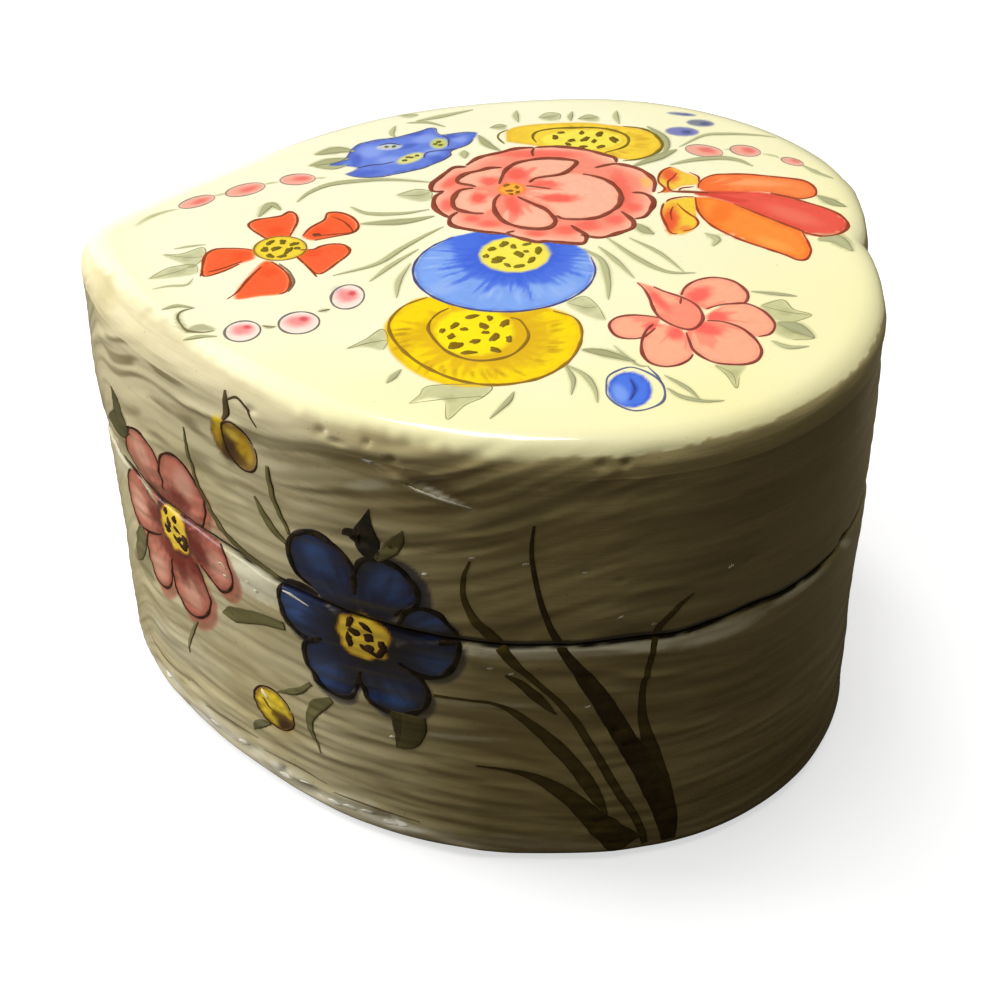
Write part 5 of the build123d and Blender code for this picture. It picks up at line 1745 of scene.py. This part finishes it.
def ivoryLacquer(name):
    # Cream ground on top and a darker, browner one on the sides, partly aged lacquer and partly painted
    # shade where the walls turn away from the light above; yellowed in soft clouds, with level brush
    # streaks, painted shade in the hollows between the ridges, painted shade that darkens and browns the
    # walls towards the right, and a few specks, under the paint and a clear coat.
    material, tree = newMaterial(name)
    g = ivory
    side = attribute(tree, "side")
    cloud = ramp(tree, noise(tree, 0.035, 4.0), 0.38, 0.68)
    here = node(tree, "TexCoord", out="Object")
    slant = node(tree, "VectorMath", {"operation": "DOT_PRODUCT"}, {0: here, 1: (7.0, -9.0, 0)}, out="Value")
    rim = ramp(tree, node(tree, "VectorMath", {"operation": "DISTANCE"},
                          {0: here, 1: (-0.004, 0.006, 0.064)}, out="Value"), 0.028, 0.053)
    top = mix(tree, cloud * 0.25 + rim * 0.45 + slant * 0.5, linear(g["cream"]), linear(g["aged"]))
    smoke = ramp(tree, noise(tree, 0.05, 4.0, (1, 1, 1.6)), 0.42, 0.72)
    wall = mix(tree, smoke * 0.7, linear(g["side"]), linear(g["smoked"]))
    streak = ramp(tree, noise(tree, 0.75, 4.0, (0.06, 0.06, 1.0)), 0.48, 0.74)
    hollow = attribute(tree, "hollow")
    # brush streaks, which are the lacquer's own, and painted shade in the hollows between the ridges, both
    # darkened toward the brown
    wall = mix(tree, streak * 0.25 + hollow * 0.6, wall, linear(g["stain"]))
    # painted shade: the walls darker and browner towards the right, which faces away from the lamps
    far = node(tree, "SeparateXYZ", {}, {0: here}, out="X")
    rightShade = mix(tree, ramp(tree, far, -0.028, 0.008), (1, 1, 1), g["rightShade"])
    wall = node(tree, "VectorMath", {"operation": "MULTIPLY"}, {0: wall, 1: rightShade})
    ground = mix(tree, side, top, wall)
    speck = ramp(tree, noise(tree, 1.6, 1.0), 0.74, 0.80)
    ground = mix(tree, speck * (0.15 + side * 0.35), ground, linear(g["speck"]))
    paint = attribute(tree, "paint", "Color")
    cover = attribute(tree, "paint", "Alpha")
    bare = node(tree, "VectorMath", {"operation": "SCALE"}, {0: ground, "Scale": 1 - cover})
    colour = node(tree, "VectorMath", {"operation": "ADD"}, {0: bare, 1: paint})
    fine = noise(tree, 2.2, 3.0) * 0.3 + noise(tree, 1.3, 4.0, (0.07, 0.07, 1.0)) * side
    bump = node(tree, "Bump", {}, {"Height": fine, "Strength": 0.35, "Distance": 0.00016})
    rough = g["gloss"] + ramp(tree, noise(tree, 0.12, 3.0), 0.35, 0.7) * 0.10 - cover * 0.04
    dull = attribute(tree, "dull")
    finishMaterial(tree, {"Base Color": colour, "Roughness": rough + dull * 0.2,
                          "Coat Weight": g["coat"] - dull * 0.8, "Coat Roughness": g["coatRough"],
                          "Normal": bump})
    return material


def inkMaterial():
    # Line paint: each stroke's own colour, thinner and thicker along it.
    material, tree = newMaterial("linePaint")
    paint = attribute(tree, "paint", "Color")
    thin = ramp(tree, noise(tree, 0.8, 3.0), 0.35, 0.75)
    colour = mix(tree, thin * 0.08, paint, linear((190, 150, 100)))
    finishMaterial(tree, {"Base Color": colour, "Roughness": 0.45 + thin * 0.1, "Coat Weight": 0.18,
                          "Coat Roughness": 0.12, "Specular IOR Level": 0.25})
    return material


blackFinish = dict(black=(24, 21, 19), brown=(52, 40, 30), dust=(120, 110, 96))


def blackLacquer(name, dusty):
    # Thin black lacquer over paper: brown where it is thin, a little dust, and paper fibre in relief.
    material, tree = newMaterial(name)
    thin = ramp(tree, noise(tree, 0.08, 4.0), 0.42, 0.7)
    colour = mix(tree, thin * 0.6, linear(blackFinish["black"]), linear(blackFinish["brown"]))
    fleck = ramp(tree, noise(tree, 1.1, 2.0), 0.66, 0.76)
    colour = mix(tree, fleck * dusty, colour, linear(blackFinish["dust"]))
    height = noise(tree, 0.7, 4.0) * 0.6 + noise(tree, 3.0, 2.0) * 0.4
    bump = node(tree, "Bump", {}, {"Height": height, "Strength": 0.5, "Distance": 0.00015})
    finishMaterial(tree, {"Base Color": colour, "Roughness": 0.42 + thin * 0.2, "Coat Weight": 0.25,
                          "Coat Roughness": 0.2, "Normal": bump})
    return material


lacquer = ivoryLacquer("ivoryLacquer")
lines = inkMaterial()
innerBlack = blackLacquer("blackLacquerInside", 0.12)
underBlack = blackLacquer("blackLacquerUnderside", 0.3)
print("materials mixed")


def wear(piece, material):
    piece.data.materials.clear()
    piece.data.materials.append(material)


for piece, material in (
        (lidTop, lacquer), (lidWall, lacquer), (baseWall, lacquer), (topLines, lines), (lidLines, lines),
        (baseLines, lines), (floorLining, innerBlack), (lidLining, innerBlack),
        (locatingCollar, innerBlack), (undersideSheet, underBlack)):
    wear(piece, material)
wear(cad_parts["base_floor"], innerBlack)


# each lamp's direction from the box, watts, width and depth in metres, and whether it shows as a gloss
lamps = dict(
    window=((-0.118, 0.19, 0.97), 2.2, (0.12, 0.36), True),
    overhead=((-0.12, -0.10, 0.985), 3.6, (0.5, 0.5), False),
    leftFill=((-0.93, 0.25, 0.26), 8.2, (0.4, 0.4), False),
    backFill=((0.50, 0.84, 0.25), 2.6, (0.5, 0.4), False),
    sheen=((-0.98, -0.15, 0.06), 1.1, (0.5, 0.25), True))
studio = dict(far=0.8, ambient=0.025, tint=(1.0, 0.78, 0.44))


def areaLight(name, direction, power, size, glossy):
    lamp = bpy.data.lights.new(name, "AREA")
    lamp.energy = power
    lamp.shape = "RECTANGLE"
    lamp.size, lamp.size_y = size
    obj = addObject(name, lamp)
    d = Vector(direction).normalized()
    obj.location = Vector((0, 0, 0.04)) + d * studio["far"]
    obj.rotation_euler = d.to_track_quat("Z", "Y").to_euler()
    obj.visible_glossy = glossy


for name, values in lamps.items():
    areaLight(name, *values)

world = bpy.data.worlds.new("studio")
bpy.context.scene.world = world
world.use_nodes = True
tree = world.node_tree
tree.nodes.clear()
seen = node(tree, "LightPath", out="Is Camera Ray")
strength = seen * (1 - studio["ambient"]) + studio["ambient"]
tone = mix(tree, seen, studio["tint"], (1, 1, 1))
shader = node(tree, "Background", {}, {"Color": tone, "Strength": strength})
node(tree, "OutputWorld", {}, {"Surface": shader})


floorLook = dict(reach=1500, lines=9, shade=(92, 84, 66), seen=(190, 190, 188), lift=0.62)


def makeFloor():
    # A wide level sheet just under the box. Seen directly it is lifted to the background's white.
    f, n = floorLook, floorLook["lines"]
    g = np.linspace(-f["reach"], f["reach"], n)
    x, y = np.meshgrid(g, g)
    floor = makeMesh("studioFloor", np.stack([x, y, np.zeros_like(x)], -1).reshape(-1, 3),
                     gridFaces(n, n, wrapColumns=False))
    material, tree = newMaterial("paleFloor")
    seen = node(tree, "LightPath", out="Is Camera Ray")
    tone = mix(tree, seen, linear(f["shade"]), linear(f["seen"]))
    shader = node(tree, "BsdfPrincipled", {}, {"Base Color": tone, "Roughness": 0.8,
                  "Specular IOR Level": 0.0, "Emission Color": mix(tree, seen, (0, 0, 0), (f["lift"],) * 3),
                  "Emission Strength": 1.0})
    node(tree, "OutputMaterial", {}, {"Surface": shader})
    wear(floor, material)


makeFloor()
view = bpy.context.scene.view_settings
view.view_transform = "Standard"
print("floor and light set")


# each piece, the body it rides on, the node it replaces and its slot
for piece, body, nodeName, slotName in (
        (baseWall, "base", "base_wall", "ivory_lacquer"),
        (locatingCollar, "base", "locating_collar", "black_lacquer"),
        (floorLining, "base", "floor_lining", "black_lacquer"),
        (undersideSheet, "base", "underside_sheet", "black_lacquer"),
        (lidWall, "lid", "lid_wall", "ivory_lacquer"),
        (lidTop, "lid", "lid_top", "ivory_lacquer"),
        (lidLining, "lid", "lid_lining", "black_lacquer"),
        (baseLines, "base", None, "black_lacquer"),
        (lidLines, "lid", None, "black_lacquer"),
        (topLines, "lid", None, "black_lacquer")):
    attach(piece, body)
    if nodeName:
        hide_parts(nodeName)
